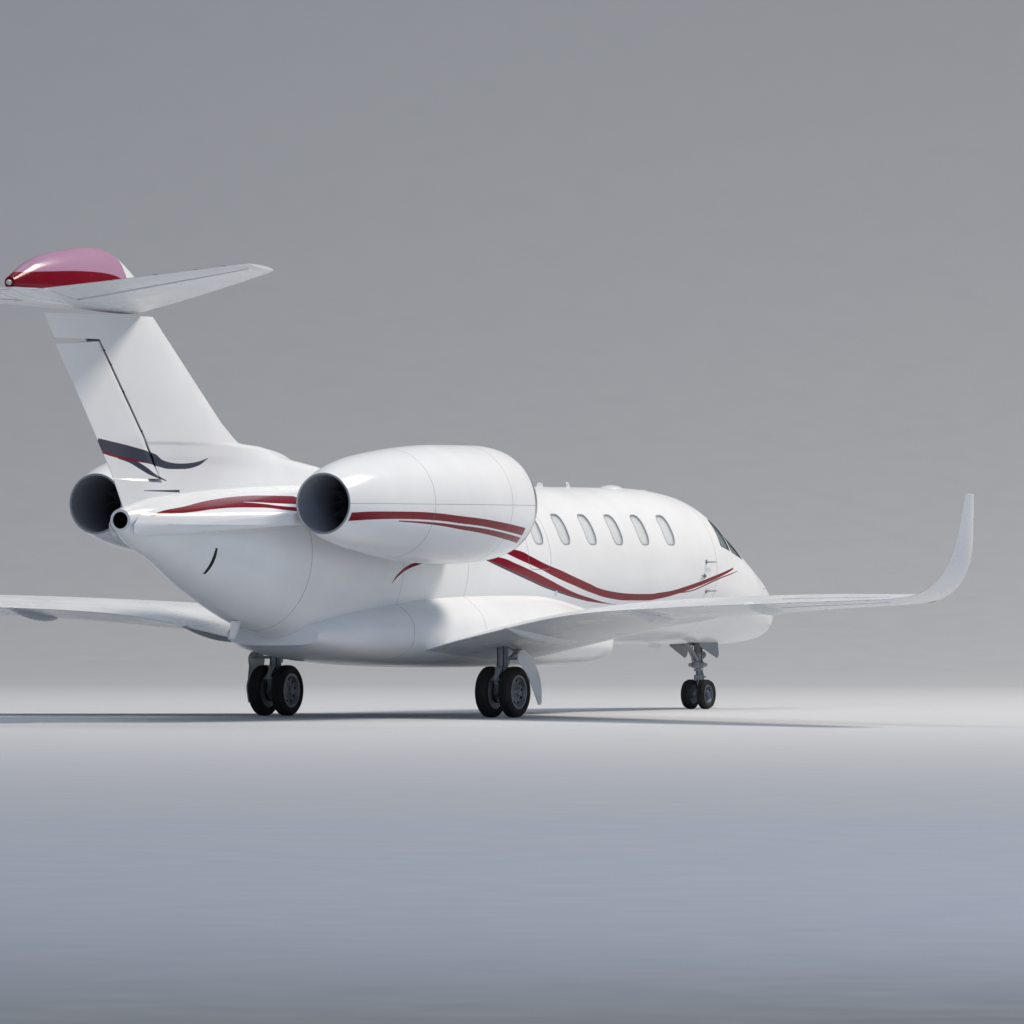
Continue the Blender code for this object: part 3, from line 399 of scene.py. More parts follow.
    def object(self, name: str, finishes: Sequence[Finish] = (), sharp: float = 35.0,
        mirrored: bool = False) -> Piece:
        """The mould's shape as an object.

        Args:
            name: The object's name.
            finishes: Its finishes.
            sharp: Edges that turn by more than this many degrees stay sharp.
            mirrored: Whether the shape is put on the other side of the centre plane.

        Returns:
            The object.
        """
        bmesh.ops.remove_doubles(self.mesh, verts=self.mesh.verts, dist=2e-5)
        if mirrored:
            bmesh.ops.scale(self.mesh, vec=(-1, 1, 1), verts=self.mesh.verts)
        bmesh.ops.recalc_face_normals(self.mesh, faces=self.mesh.faces)
        self.mesh.faces.layers.int.remove(self.dressed)
        data = bpy.data.meshes.new(name)
        self.mesh.to_mesh(data)
        self.mesh.free()
        data.shade_smooth()
        data.set_sharp_from_angle(angle=radians(sharp))
        for finish in finishes:
            data.materials.append(finish.material())
        made = bpy.data.objects.new(name, data)
        bpy.context.scene.collection.objects.link(made)
        return made


def carve(target: Piece, tool: Piece | Mould, operation: str = "DIFFERENCE", crossing: bool = False) -> Piece:
    """Cuts one object with another and keeps only the result.

    Args:
        target: What is cut.
        tool: What cuts it. It is removed.
        operation: DIFFERENCE or INTERSECT.
        crossing: Whether parts of the tool pass through each other.

    Returns:
        The target.
    """
    cutter = tool.object("cut") if isinstance(tool, Mould) else tool
    modifier = target.modifiers.new("carve", "BOOLEAN")
    modifier.operation = operation
    modifier.solver = "EXACT"
    modifier.use_self = crossing
    modifier.object = cutter
    result = bpy.data.meshes.new_from_object(target.evaluated_get(bpy.context.evaluated_depsgraph_get()))
    target.modifiers.clear()
    result.name = target.name
    target.data = result
    result.shade_smooth()
    result.set_sharp_from_angle(angle=radians(35))
    bpy.data.objects.remove(cutter, do_unlink=True)
    return target


def publish(piece: Piece, nodes: Iterable[str] = (), body: str = AIRFRAME) -> None:
    """Puts a finished piece in the frame.

    Args:
        piece: The piece.
        nodes: The CAD nodes that it stands for.
        body: The body that it rides on.
    """
    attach(piece, body)
    for node in nodes:
        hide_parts(node)
    LOG.info("%s on %s, %d faces", piece.name, body, len(piece.data.polygons))


# ---------------------------------------------------------------------------------------------- finishes


def linear(colour: str) -> tuple[float, float, float, float]:
    """Returns an sRGB hex colour as the linear values that shaders take."""
    parts = [int(colour[index:index + 2], 16) / 255 for index in (1, 3, 5)]
    return (*[part / 12.92 if part <= 0.04045 else ((part + 0.055) / 1.055) ** 2.4 for part in parts], 1.0)


def add(tree: Tree, kind: str, links: dict | None = None, **settings: object) -> bpy.types.Node:
    """A shader node with its settings and links.

    Args:
        tree: The material's tree.
        kind: The node's type, without ShaderNode.
        links: For each input, by name or place, a socket or a value.
        settings: The node's own properties.

    Returns:
        The node.
    """
    made = tree.nodes.new("ShaderNode" + kind)
    for key, value in settings.items():
        setattr(made, key, value)
    for key, value in (links or {}).items():
        if isinstance(value, Socket):
            tree.links.new(value, made.inputs[key])
        else:
            made.inputs[key].default_value = value
    return made


@dataclass(frozen=True)
class Finish:
    """A plain surface with fine grain: what its colour, gloss and grain are."""

    name: str
    colour: str
    roughness: float
    metallic: float = 0.0
    coat: float = 0.0
    ior: float = 1.5
    grain: float = 0.03  # metres from one bump to the next
    relief: float = 0.02
    mottle: float = 0.06  # how far the colour wanders
    sheen: float = 0.0

    def material(self) -> bpy.types.Material:
        """Returns the material, made once."""
        found = bpy.data.materials.get(self.name)
        if found:
            return found
        made = bpy.data.materials.new(self.name)
        made.use_nodes = True
        tree = made.node_tree
        shader = tree.nodes["Principled BSDF"]
        shader.inputs["Metallic"].default_value = self.metallic
        shader.inputs["IOR"].default_value = self.ior
        shader.inputs["Coat Weight"].default_value = self.coat
        shader.inputs["Coat Roughness"].default_value = 0.04
        shader.inputs["Sheen Weight"].default_value = self.sheen
        place = add(tree, "TexCoord").outputs["Object"]
        broad = add(tree, "TexNoise", {"Vector": place, "Scale": 1.7, "Detail": 4.0})
        tone = add(tree, "MapRange", {0: broad.outputs["Fac"], 1: 0.3, 2: 0.7, 3: 1.0 - self.mottle, 4: 1.0})
        colour = self.pattern(tree, place)
        shaded = add(tree, "Mix", {"Factor": 1.0, 6: colour, 7: tone.outputs[0]}, data_type="RGBA",
            blend_type="MULTIPLY")
        tree.links.new(shaded.outputs[2], shader.inputs["Base Color"])
        rough = add(tree, "MapRange", {0: broad.outputs["Fac"], 1: 0.3, 2: 0.7, 3: self.roughness * 0.8,
            4: min(1.0, self.roughness * 1.25)})
        tree.links.new(rough.outputs[0], shader.inputs["Roughness"])
        fine = add(tree, "TexNoise", {"Vector": place, "Scale": 1.0 / self.grain, "Detail": 3.0})
        bump = add(tree, "Bump", {"Height": self.height(tree, place, fine.outputs["Fac"]), "Strength": 1.0,
            "Distance": self.relief * self.grain})
        tree.links.new(bump.outputs["Normal"], shader.inputs["Normal"])
        return made

    def pattern(self, tree: Tree, place: Socket) -> Socket:
        """Returns the colour before it wanders: the finish's own."""
        return tint(tree, self.colour)

    def height(self, tree: Tree, place: Socket, grain: Socket) -> Socket:
        """Returns the height that the bump follows: the grain alone."""
        return grain


def tint(tree: Tree, colour: str) -> Socket:
    """Returns an sRGB hex colour as a socket."""
    made = add(tree, "RGB")
    made.outputs[0].default_value = linear(colour)
    return made.outputs[0]


def sums(tree: Tree, operation: str, *values: object) -> Socket:
    """A Math node's result.

    Args:
        tree: The material's tree.
        operation: The sum, such as ADD.
        values: Sockets or numbers.

    Returns:
        The result.
    """
    return add(tree, "Math", dict(enumerate(values)), operation=operation).outputs[0]


def coat(tree: Tree, under: Socket, colour: str, mask: Socket) -> Socket:
    """Returns a colour laid over another where a mask is 1."""
    return add(tree, "Mix", {"Factor": mask, 6: under, 7: tint(tree, colour)}, data_type="RGBA").outputs[2]


@dataclass(frozen=True)
class Line:
    """A line on the side view, through (station, height) points, smooth between them."""

    points: tuple[Point, ...]

    def height(self, tree: Tree, station: Socket) -> Socket:
        """Returns the line's height over a station."""
        points = sorted(self.points)
        places, heights = [point[0] for point in points], [point[1] for point in points]
        low, rise = min(heights), max(max(heights) - min(heights), 1e-3)
        share = add(tree, "MapRange", {0: station, 1: places[0], 2: places[-1]}).outputs[0]
        curve = add(tree, "FloatCurve", {"Value": share})
        knots = curve.mapping.curves[0].points
        while len(knots) < len(points):
            knots.new(0.5, 0.5)
        for knot, (place, height) in zip(knots, points):
            knot.location = ((place - places[0]) / (places[-1] - places[0]), (height - low) / rise)
            knot.handle_type = "AUTO_CLAMPED"
        curve.mapping.update()
        return sums(tree, "MULTIPLY_ADD", curve.outputs[0], rise, low)


@dataclass(frozen=True)
class Band:
    """A painted band between two lines of the side view."""

    top: Line
    bottom: Line
    colour: str

    def mask(self, tree: Tree, station: Socket, height: Socket) -> Socket:
        """Returns 1 inside the band and 0 outside it, with an edge 4 mm soft."""
        over = sums(tree, "SUBTRACT", self.top.height(tree, station), height)
        under = sums(tree, "SUBTRACT", height, self.bottom.height(tree, station))
        across = add(tree, "MapRange", {0: sums(tree, "MINIMUM", over, under), 1: -0.002, 2: 0.002}).outputs[0]
        places = [point[0] for point in self.top.points], [point[0] for point in self.bottom.points]
        inside = sums(tree, "GREATER_THAN", station, min(map(min, places)))
        within = sums(tree, "LESS_THAN", station, max(map(max, places)))
        return sums(tree, "MULTIPLY", across, sums(tree, "MULTIPLY", inside, within))


class Side(Enum):
    """Which side of the aircraft."""

    PORT = 1
    STARBOARD = -1
    BOTH = 0


@dataclass(frozen=True)
class Seam:
    """A gap's outline in the skin, a rounded rectangle on the side view. Real ones are 2 mm wide, and these
    are 9 mm, which is the least that shows."""

    middle: Point
    size: Point
    radius: float = 0.08
    side: Side = Side.BOTH
    width: float = 0.0045

    def mask(self, tree: Tree, station: Socket, height: Socket, butt: Socket) -> Socket:
        """Returns 1 on the seam."""
        outs = []
        for value, middle, size in zip((station, height), self.middle, self.size):
            far = sums(tree, "ABSOLUTE", sums(tree, "SUBTRACT", value, middle))
            outs.append(sums(tree, "SUBTRACT", far, size / 2 - self.radius))
        clipped = [sums(tree, "MAXIMUM", out, 0) for out in outs]
        length = sums(tree, "SQRT", sums(tree, "MULTIPLY_ADD", clipped[0], clipped[0], sums(tree, "MULTIPLY",
            clipped[1], clipped[1])))
        inner = sums(tree, "MINIMUM", sums(tree, "MAXIMUM", *outs), 0)
        ring = sums(tree, "COMPARE", sums(tree, "ADD", length, inner), self.radius, self.width)
        if self.side is Side.BOTH:
            return ring
        return sums(tree, "MULTIPLY", ring, sums(tree, "GREATER_THAN", sums(tree, "MULTIPLY", butt,
            float(self.side.value)), 0))


@dataclass(frozen=True)
class Livery(Finish):
    """Two-part polyurethane paint with masked bands, over skins whose joints and access panels show."""

    bands: tuple[Band, ...] = ()
    seams: tuple[Seam, ...] = ()
    stations: tuple[float, ...] = ()
    stringers: tuple[float, ...] = ()

    def places(self, tree: Tree, place: Socket) -> tuple[Socket, ...]:
        """Returns the butt line, the station and the height."""
        parts = add(tree, "SeparateXYZ", {0: place}).outputs
        return parts[0], sums(tree, "ADD", parts[1], LENGTH / 2), parts[2]

    def joints(self, tree: Tree, place: Socket) -> Socket:
        """Returns 1 on the skin's joints."""
        butt, station, height = self.places(tree, place)
        masks = [sums(tree, "COMPARE", station, where, 0.004) for where in self.stations]
        masks += [sums(tree, "COMPARE", height, where, 0.003) for where in self.stringers]
        masks += [seam.mask(tree, station, height, butt) for seam in self.seams]
        total: object = 0.0
        for mask in masks:
            total = sums(tree, "MAXIMUM", mask, total)
        return total if masks else sums(tree, "ADD", 0, 0)

    def pattern(self, tree: Tree, place: Socket) -> Socket:
        """Returns the base coat with its bands, darker in the joints."""
        _, station, height = self.places(tree, place)
        colour = tint(tree, self.colour)
        for band in self.bands:
            colour = coat(tree, colour, band.colour, band.mask(tree, station, height))
        return coat(tree, colour, "#6E757D", sums(tree, "MULTIPLY", self.joints(tree, place), 0.8))

    def height(self, tree: Tree, place: Socket, grain: Socket) -> Socket:
        """Returns the orange peel with the joints sunk in it."""
        return sums(tree, "MULTIPLY_ADD", self.joints(tree, place), -4.0, grain)


@dataclass(frozen=True)
class Streaked(Finish):
    """A metal or wood whose grain runs one way."""

    stretch: tuple[float, float, float] = (1.0, 60.0, 60.0)
    second: str = "#808080"
    share: float = 0.5

    def streaks(self, tree: Tree, place: Socket) -> Socket:
        """Returns noise drawn out along the grain."""
        turned = add(tree, "Mapping", {"Vector": place, "Scale": self.stretch}).outputs[0]
        return add(tree, "TexNoise", {"Vector": turned, "Scale": 4.0, "Detail": 5.0}).outputs["Fac"]

    def pattern(self, tree: Tree, place: Socket) -> Socket:
        """Returns the two colours mixed along the grain."""
        return coat(tree, tint(tree, self.colour), self.second, sums(tree, "MULTIPLY", self.streaks(tree, place),
            self.share))

    def height(self, tree: Tree, place: Socket, grain: Socket) -> Socket:
        """Returns the streaks with a little of the fine grain."""
        return sums(tree, "MULTIPLY_ADD", grain, 0.3, self.streaks(tree, place))


@dataclass(frozen=True)
class Celled(Finish):
    """Leather or cast grain: small cells with creases between them."""

    def height(self, tree: Tree, place: Socket, grain: Socket) -> Socket:
        """Returns the cells' domes with the fine grain."""
        cells = add(tree, "TexVoronoi", {"Vector": place, "Scale": 1.0 / self.grain}, feature="DISTANCE_TO_EDGE")
        return sums(tree, "MULTIPLY_ADD", cells.outputs["Distance"], 2.0, grain)


@dataclass(frozen=True)
class Heated(Finish):
    """A metal tinted by heat towards one end."""

    hot: str = "#6B4A33"
    start: float = 15.0
    end: float = 15.8

    def pattern(self, tree: Tree, place: Socket) -> Socket:
        """Returns the metal's colour with its tint growing along the stations."""
        parts = add(tree, "SeparateXYZ", {0: place}).outputs
        wander = add(tree, "TexNoise", {"Vector": place, "Scale": 5.0}).outputs["Fac"]
        station = sums(tree, "MULTIPLY_ADD", wander, 0.25, sums(tree, "ADD", parts[1], LENGTH / 2))
        share = add(tree, "MapRange", {0: station, 1: self.start, 2: self.end}).outputs[0]
        return coat(tree, tint(tree, self.colour), self.hot, share)


@dataclass(frozen=True)
class Pane(Finish):
    """Stretched acrylic, laminated glass or a lens, which lets part of the light through."""

    alpha: float = 0.3

    def material(self) -> bpy.types.Material:
        """Returns the material, see-through by its alpha."""
        made = super().material()
        made.node_tree.nodes["Principled BSDF"].inputs["Alpha"].default_value = self.alpha
        return made


# ------------------------------------------------------------------------------------- shapes by table


def oval(row: Sequence[float], grow: float = 0.0, squareness: float = 1.0, sides: int = 96) -> list[Vector]:
    """A ring round a body's section: half an ellipse above its widest line and half below.

    Args:
        row: Station, half width, top, height of the widest line, bottom.
        grow: How far out of the section it lies.
        squareness: Under 1, it fills out the lower corners.
        sides: Corners of the ring.

    Returns:
        The ring's corners.
    """
    station, half_width, top, wide, bottom = row
    ring = []
    for turn in turns(sides):
        cosine, sine = cos(turn), sin(turn)
        if sine < 0 and squareness != 1.0:
            cosine = copysign(abs(cosine) ** squareness, cosine)
            sine = -(abs(sine) ** squareness)
        half = top - wide if sine >= 0 else wide - bottom
        ring.append(Vector(((half_width + grow) * cosine, along(station), wide + (half + grow) * sine)))
    return ring


def skin_butt(station: float, height: float, grow: float = 0.0) -> float:
    """Returns the butt line of the fuselage's skin at a station and height."""
    _, half_width, top, wide, bottom = FUSELAGE.at(station)
    half = (top - wide if height >= wide else wide - bottom) + grow
    return (half_width + grow) * sqrt(max(0, 1 - ((height - wide) / half) ** 2))


def body_rings(start: float, end: float, grow: float = 0.0, pitch: float = 0.1) -> Rings:
    """Returns the fuselage's rings between two stations, grown by a distance."""
    return [oval(FUSELAGE.at(station), grow) for station in spread(start, end, pitch)]


def body_strip(start: float, end: float, outer: float, inner: float, pitch: float = 0.05) -> Mould:
    """Returns a shell between two distances from the skin, closed at both ends.

    The inner rings end 1 mm short, because two rings in one plane can be bridged the wrong way round.
    """
    inside = body_rings(start + 0.001, end - 0.001, inner, pitch)
    return Mould().skin(body_rings(start, end, outer, pitch) + inside[::-1], loop=True)


def lozenge(middle: Point, size: Point, squareness: float = 0.6, points: int = 40) -> list[Point]:
    """Returns a rounded rectangle's corners, as a cabin window has."""
    outline = []
    for turn in (tau * (step + 0.5) / points for step in range(points)):
        cosine, sine = cos(turn), sin(turn)
        outline.append((middle[0] + size[0] / 2 * copysign(abs(cosine) ** squareness, cosine), middle[1]
            + size[1] / 2 * copysign(abs(sine) ** squareness, sine)))
    return outline


def softened(outline: Sequence[Point], radius: float, grow: float = 0.0, steps: int = 6) -> list[Point]:
    """A polygon with rounded corners.

    Args:
        outline: Its corners.
        radius: How far from a corner its rounding starts.
        grow: How far the polygon is spread from its middle.
        steps: Facets of each rounding.

    Returns:
        The rounded outline.
    """
    middle = sum((Vector(point) for point in outline), Vector((0, 0))) / len(outline)
    corners = []
    for point in outline:
        reach = Vector(point) - middle
        corners.append(middle + reach * (1 + grow / reach.length))
    made = []
    for before, corner, after in zip(corners[-1:] + corners[:-1], corners, corners[1:] + corners[:1]):
        first = corner + (before - corner).normalized() * radius
        last = corner + (after - corner).normalized() * radius
        for step in range(steps + 1):
            share = step / steps
            made.append(tuple(first * (1 - share) ** 2 + corner * 2 * share * (1 - share) + last * share**2))
    return made


@dataclass(frozen=True)
class Surface:
    """A wing's or tailplane's skin over its table of ribs."""

    table: Track
    facets: int = 26
    edge: float = 0.006
    belly: float = 1.0  # the lower side's share of the upper one's depth, at the leading edge

    def spot(self, butt: float, share: float, lift: float = 0.0, side: int = 1) -> Vector:
        """A point in a rib.

        Args:
            butt: The rib's butt line.
            share: The share of its chord.
            lift: The distance off the chord line.
            side: 1 for port, -1 for starboard.

        Returns:
            The point.
        """
        line, z_front, z_rear, front, rear, _, cant = self.table.at(butt)
        lean = radians(cant)
        return Vector((side * (line - lift * sin(lean)), along(front + (rear - front) * share), z_front
            + (z_rear - z_front) * share + lift * cos(lean)))

    def depth(self, butt: float, share: float) -> float:
        """Returns the skin's distance from the chord line."""
        return max(half_thickness(share) * self.table.at(butt)[5], self.edge / 2) if share else 0.0

    def under(self, share: float) -> float:
        """Returns how deep the lower side is there for an upper one of 1."""
        return self.belly + (1 - self.belly) * min(1.0, share / 0.7) ** 2

    def rib(self, butt: float, side: int = 1) -> list[Vector]:
        """Returns the ring of a whole rib."""
        shares = eased(self.facets)
        upper = [self.spot(butt, share, self.depth(butt, share), side) for share in reversed(shares)]
        return upper + [self.spot(butt, share, -self.depth(butt, share) * self.under(share), side)
            for share in shares[1:]]

    def hinge(self, butts: Point, chord_share: float, butt: float) -> float:
        """Returns the share of a rib's chord where the straight line of a hinge crosses it."""
        ends = [self.table.at(end) for end in butts]
        first, last = (row[3] + (row[4] - row[3]) * chord_share for row in ends)
        station = first + (last - first) * (butt - butts[0]) / (butts[1] - butts[0])
        row = self.table.at(butt)
        return (station - row[3]) / (row[4] - row[3])

    def panel(self, butts: Point, chord_share: float, side: int) -> Mould:
        """Returns a control surface with a round nose about its hinge."""
        rings = []
        for butt in spread(*butts, 0.1):
            row = self.table.at(butt)
            chord = row[4] - row[3]
            share = self.hinge(butts, chord_share, butt)
            radius = 0.92 * self.depth(butt, share)
            nose = [self.spot(butt, share - radius * cos(turn) / chord, radius * sin(turn), side)
                for turn in (radians(angle) for angle in range(-75, 76, 15))]
            shares = [share + (1 - share) * step for step in (0.06, 0.2, 0.4, 0.6, 0.8, 0.93, 1.0)]
            upper = [self.spot(butt, place, self.depth(butt, place), side) for place in shares]
            lower = [self.spot(butt, place, -self.depth(butt, place), side) for place in reversed(shares)]
            rings.append(nose + upper + lower)
        return Mould().skin(rings)

    def bay(self, butts: Point, chord_share: float, side: int, gap: float = 0.008) -> Mould:
        """Returns the room that a control surface turns in."""
        rings = []
        places = spread(*butts, 0.3)
        for index, butt in enumerate(places):
            share = self.hinge(butts, chord_share, butt)
            chord = self.table.at(butt)[4] - self.table.at(butt)[3]
            front = share - (self.depth(butt, share) + 1.5 * gap) / chord
            moved = butt + {0: -1, len(places) - 1: 1}.get(index, 0) * 2 * gap
            rings.append([self.spot(moved, front, 0.5, side), self.spot(moved, 1.3, 0.5, side),
                self.spot(moved, 1.3, -0.5, side), self.spot(moved, front, -0.5, side)])
        return Mould().skin(rings)

    def plan(self, butts: Point, chord_share: float, side: int) -> Mould:
        """Returns the room over a wing aft of a share of its chord, between two butt lines."""
        rings = []
        for butt in spread(*butts, 0.2):
            front, rear = self.spot(butt, chord_share).y, self.spot(butt, 1.0).y + 0.4
            rings.append([Vector((side * butt, y, z)) for y, z in ((front, 2.4), (rear, 2.4), (rear, 0.3),
                (front, 0.3))])
        return Mould().skin(rings)

    def near_nose(self, share: float, limit: float) -> Callable[[Face], bool]:
        """Returns a test for faces ahead of a share of the chord and inboard of a butt line."""
        def test(face: Face) -> bool:
            """Whether a face lies on the leading edge."""
            middle = face.calc_center_median()
            row = self.table.at(abs(middle.x))
            return abs(middle.x) < limit and middle.y < along(row[3] + (row[4] - row[3]) * share)
        return test


# -------------------------------------------------------------------------------------- the paint scheme


WHITE = "#E6E9EC"
RED = "#780B20"
CHARCOAL = "#3C4150"
UPPER_SWEEP = Band(Line(((9.6, 2.2), (9.11, 2.15), (8.84, 2.085), (8.38, 1.974), (7.99, 1.902), (7.58, 1.817),
    (7.07, 1.718), (6.74, 1.656), (6.36, 1.617), (5.9, 1.59), (5.27, 1.583), (4.92, 1.602), (4.58, 1.629),
    (4.25, 1.676), (3.84, 1.743), (3.35, 1.831), (2.72, 1.94))), Line(((9.6, 2.136), (9.14, 2.032), (8.57, 1.915),
    (8.09, 1.804), (7.49, 1.691), (6.95, 1.598), (6.36, 1.524), (5.89, 1.497), (5.3, 1.496), (4.87, 1.522),
    (4.54, 1.562), (4.05, 1.642), (3.49, 1.75), (2.73, 1.913))), RED)
NOSE_LINE = Band(Line(((4.55, 1.592), (4.03, 1.63), (3.63, 1.712), (3.18, 1.807), (2.53, 1.897))),
    Line(((4.55, 1.584), (4.03, 1.614), (3.63, 1.692), (3.18, 1.787), (2.53, 1.889))), RED)
LOWER_SWEEP = Band(Line(((10.26, 2.085), (9.7, 2.064), (9.26, 1.986), (8.85, 1.902), (8.4, 1.804), (7.9, 1.692),
    (7.43, 1.599), (6.95, 1.532), (6.46, 1.471), (6.1, 1.444))), Line(((10.26, 2.069), (9.85, 1.992), (9.25, 1.869),
    (8.83, 1.784), (8.36, 1.692), (7.85, 1.612), (7.4, 1.546), (6.91, 1.485), (6.1, 1.44))), RED)
LOWER_SHADE = Band(Line(LOWER_SWEEP.bottom.points[:-1]), Line(((10.26, 2.062), (9.85, 1.968), (9.25, 1.841),
    (8.83, 1.757), (8.36, 1.668), (7.85, 1.592), (7.4, 1.532), (6.91, 1.48))), CHARCOAL)
CRESCENT = Band(Line(((12.67, 1.745), (12.53, 1.86), (12.26, 1.962), (12.0, 2.003), (11.72, 2.019))),
    Line(((12.67, 1.728), (12.53, 1.815), (12.26, 1.914), (12.0, 1.963), (11.72, 2.011))), RED)
PYLON_SWEEP = Band(Line(((17.77, 2.56), (17.5, 2.63), (17.07, 2.685), (16.6, 2.75), (16.22, 2.79), (15.84, 2.82),
    (15.51, 2.833), (15.12, 2.828))), Line(((17.77, 2.56), (17.44, 2.584), (17.02, 2.623), (16.69, 2.656),
    (16.31, 2.677), (16.06, 2.678), (15.7, 2.649), (15.12, 2.58))), RED)
PYLON_SPLIT = Band(Line(((16.06, 2.749), (15.87, 2.745), (15.7, 2.735), (15.53, 2.728), (15.12, 2.715))),
    Line(((16.06, 2.745), (15.87, 2.729), (15.7, 2.704), (15.53, 2.688), (15.12, 2.66))), WHITE)
NACELLE_UPPER = Band(Line(((15.74, 2.616), (15.37, 2.631), (14.85, 2.633), (14.35, 2.63), (13.91, 2.613),
    (13.44, 2.584), (12.92, 2.555), (12.35, 2.513), (11.78, 2.464), (11.5, 2.44))), Line(((15.74, 2.51),
    (15.32, 2.531), (14.81, 2.539), (14.31, 2.535), (13.87, 2.519), (13.39, 2.489), (12.87, 2.46), (12.28, 2.411),
    (11.5, 2.342))), RED)
NACELLE_LOWER = Band(Line(((14.8, 2.521), (14.3, 2.51), (13.86, 2.493), (13.38, 2.464), (12.85, 2.434),
    (12.25, 2.386), (11.5, 2.314))), Line(((14.8, 2.508), (14.29, 2.485), (13.83, 2.456), (13.34, 2.413),
    (12.79, 2.371), (12.16, 2.31), (11.5, 2.245))), RED)
FIN_SWEEP = Band(Line(((18.62, 3.52), (18.37, 3.487), (17.93, 3.43), (17.37, 3.337), (17.12, 3.252), (16.78, 3.224),
    (16.55, 3.232), (16.32, 3.259), (16.14, 3.3))), Line(((18.62, 3.4), (18.17, 3.28), (17.77, 3.246),
    (17.45, 3.212), (17.22, 3.176), (16.99, 3.153), (16.65, 3.156), (16.42, 3.183), (16.14, 3.29))), CHARCOAL)
FIN_BRANCH = Band(Line(((18.17, 3.3), (17.77, 3.246), (17.56, 3.186), (17.31, 3.088), (17.06, 3.012))),
    Line(((18.17, 3.273), (17.9, 3.22), (17.67, 3.148), (17.43, 3.075), (17.06, 3.0))), CHARCOAL)
FIN_EDGE = Band(Line(((18.62, 3.4), (18.49, 3.36), (18.13, 3.304), (17.75, 3.258), (17.55, 3.235))),
    Line(((18.62, 3.36), (18.49, 3.33), (18.13, 3.274), (17.75, 3.238), (17.55, 3.222))), "#7E1526")
FIN_FOOT = Band(Line(((17.55, 2.884), (16.75, 2.896))), Line(((17.55, 2.876), (16.75, 2.862))), "#4E565F")
CAP_BAND = Band(Line(((20.85, 5.51), (20.2, 5.535), (19.4, 5.556), (18.9, 5.545), (18.35, 5.46), (18.0, 5.4))),
    Line(((20.85, 5.335), (19.6, 5.31), (18.6, 5.25), (18.0, 5.2))), RED)
CAP_FOOT = Band(CAP_BAND.bottom, Line(((20.85, 4.9), (18.0, 4.9))), WHITE)
CAP_RIM = Band(Line(((18.32, 5.8), (18.2, 5.75), (17.8, 5.55))), Line(((18.32, 5.6), (18.2, 5.3), (17.8, 5.1))),
    WHITE)

# Two-part polyurethane over primer: a deep, slightly wavy gloss
FUSELAGE_PAINT = Livery("polyurethane_paint_fuselage", WHITE, 0.2, coat=0.1, ior=1.25, grain=0.02, relief=0.004,
    mottle=0.05, bands=(UPPER_SWEEP, NOSE_LINE, LOWER_SHADE, LOWER_SWEEP, CRESCENT, PYLON_SWEEP, PYLON_SPLIT),
    stations=(0.8, 3.3, 10.6, 12.4, 14.6), seams=(Seam((8.57, 2.27), (0.64, 0.72), 0.12, Side.STARBOARD),
    Seam((13.45, 1.95), (0.9, 0.62), 0.07, Side.PORT), Seam((1.12, 1.48), (0.42, 0.34), 0.05)))
WING_PAINT = Livery("polyurethane_paint_wing", "#DDE1E5", 0.3, coat=0.1, ior=1.3, grain=0.05, relief=0.0002,
    mottle=0.03)
NACELLE_PAINT = Livery("polyurethane_paint_nacelle", WHITE, 0.2, coat=0.1, ior=1.25, grain=0.02, relief=0.004,
    mottle=0.05, bands=(NACELLE_UPPER, NACELLE_LOWER), stations=(12.05, 14.05), stringers=(2.73,))
FIN_PAINT = Livery("polyurethane_paint_fin", WHITE, 0.22, coat=0.1, ior=1.25, grain=0.02, relief=0.004, mottle=0.05,
    bands=(FIN_BRANCH, FIN_SWEEP, FIN_EDGE, FIN_FOOT))
CAP_PAINT = Livery("polyurethane_paint_cap", "#AE88A2", 0.22, coat=0.1, ior=1.25, grain=0.02, relief=0.004,
    mottle=0.06, bands=(CAP_BAND, CAP_FOOT, CAP_RIM))
# Aluminium sheet rubbed with a buffing wheel
POLISHED = Streaked("polished_aluminium", "#D3D6D9", 0.16, metallic=1.0, stretch=(30.0, 4.0, 30.0),
    second="#B9BDC2", relief=0.004, grain=0.01)
MACHINED = Streaked("machined_aluminium", "#AEB2B6", 0.34, metallic=1.0, second="#8F9397", relief=0.01, grain=0.008)
# Nickel alloy sheet with a matt blue-grey oxide
LINER = Heated("oxidised_nozzle_liner", "#9298A4", 0.62, metallic=0.1, hot="#9A9FA8", relief=0.03, grain=0.01)
SOOTED = Heated("sooted_nickel_alloy", "#3B3836", 0.55, metallic=0.8, hot="#1E1B19", start=14.0, end=15.4)
FORGED = Streaked("forged_titanium_blade", "#8E9298", 0.3, metallic=1.0, stretch=(8.0, 40.0, 8.0), second="#6B6F75")
CHROME = Finish("hard_chrome_plate", "#7C8086", 0.16, metallic=1.0, relief=0.003, grain=0.006, mottle=0.03)
# Grey enamel of the legs and fittings; on the nose gear doors the same grey is painted shade
GEAR_ENAMEL_AND_DOOR_SHADE = Finish("grey_gear_enamel", "#8F959B", 0.38, grain=0.006, relief=0.02, mottle=0.14)
STEEL = Finish("cadmium_plated_steel", "#9A9788", 0.42, metallic=1.0, grain=0.004, relief=0.02)
CARBON = Celled("carbon_brake_disc", "#2A2A2C", 0.62, metallic=0.2, grain=0.006, relief=0.08)
# The nose wheels' enamel: the grey wheel enamel darkened and blued, painted shade under the nose
NOSE_WHEEL_ENAMEL_AND_SHADE = Finish("blue_grey_wheel_enamel", "#4C5666", 0.42, metallic=0.2, grain=0.004, relief=0.03, mottle=0.2)
WHEEL_ENAMEL = Finish("grey_wheel_enamel", "#868C92", 0.4, metallic=0.35, grain=0.004, relief=0.03, mottle=0.2)
DOOR_PAINT = Finish("polyurethane_paint_gear_doors", "#E9ECEE", 0.24, coat=0.15, grain=0.02, relief=0.004,
    mottle=0.08)
AERIAL = Finish("gloss_aerial_laminate", "#DADDE0", 0.24, coat=0.3, grain=0.01, relief=0.01)
HOUSING = Finish("textured_grey_plastic", "#3A3C3F", 0.6, grain=0.003, relief=0.15)
TYRE = Finish("tyre_rubber", "#1B1B1C", 0.72, ior=1.52, grain=0.004, relief=0.12, mottle=0.3)
HOSE = Finish("hydraulic_hose_rubber", "#131314", 0.5, grain=0.003, relief=0.1)
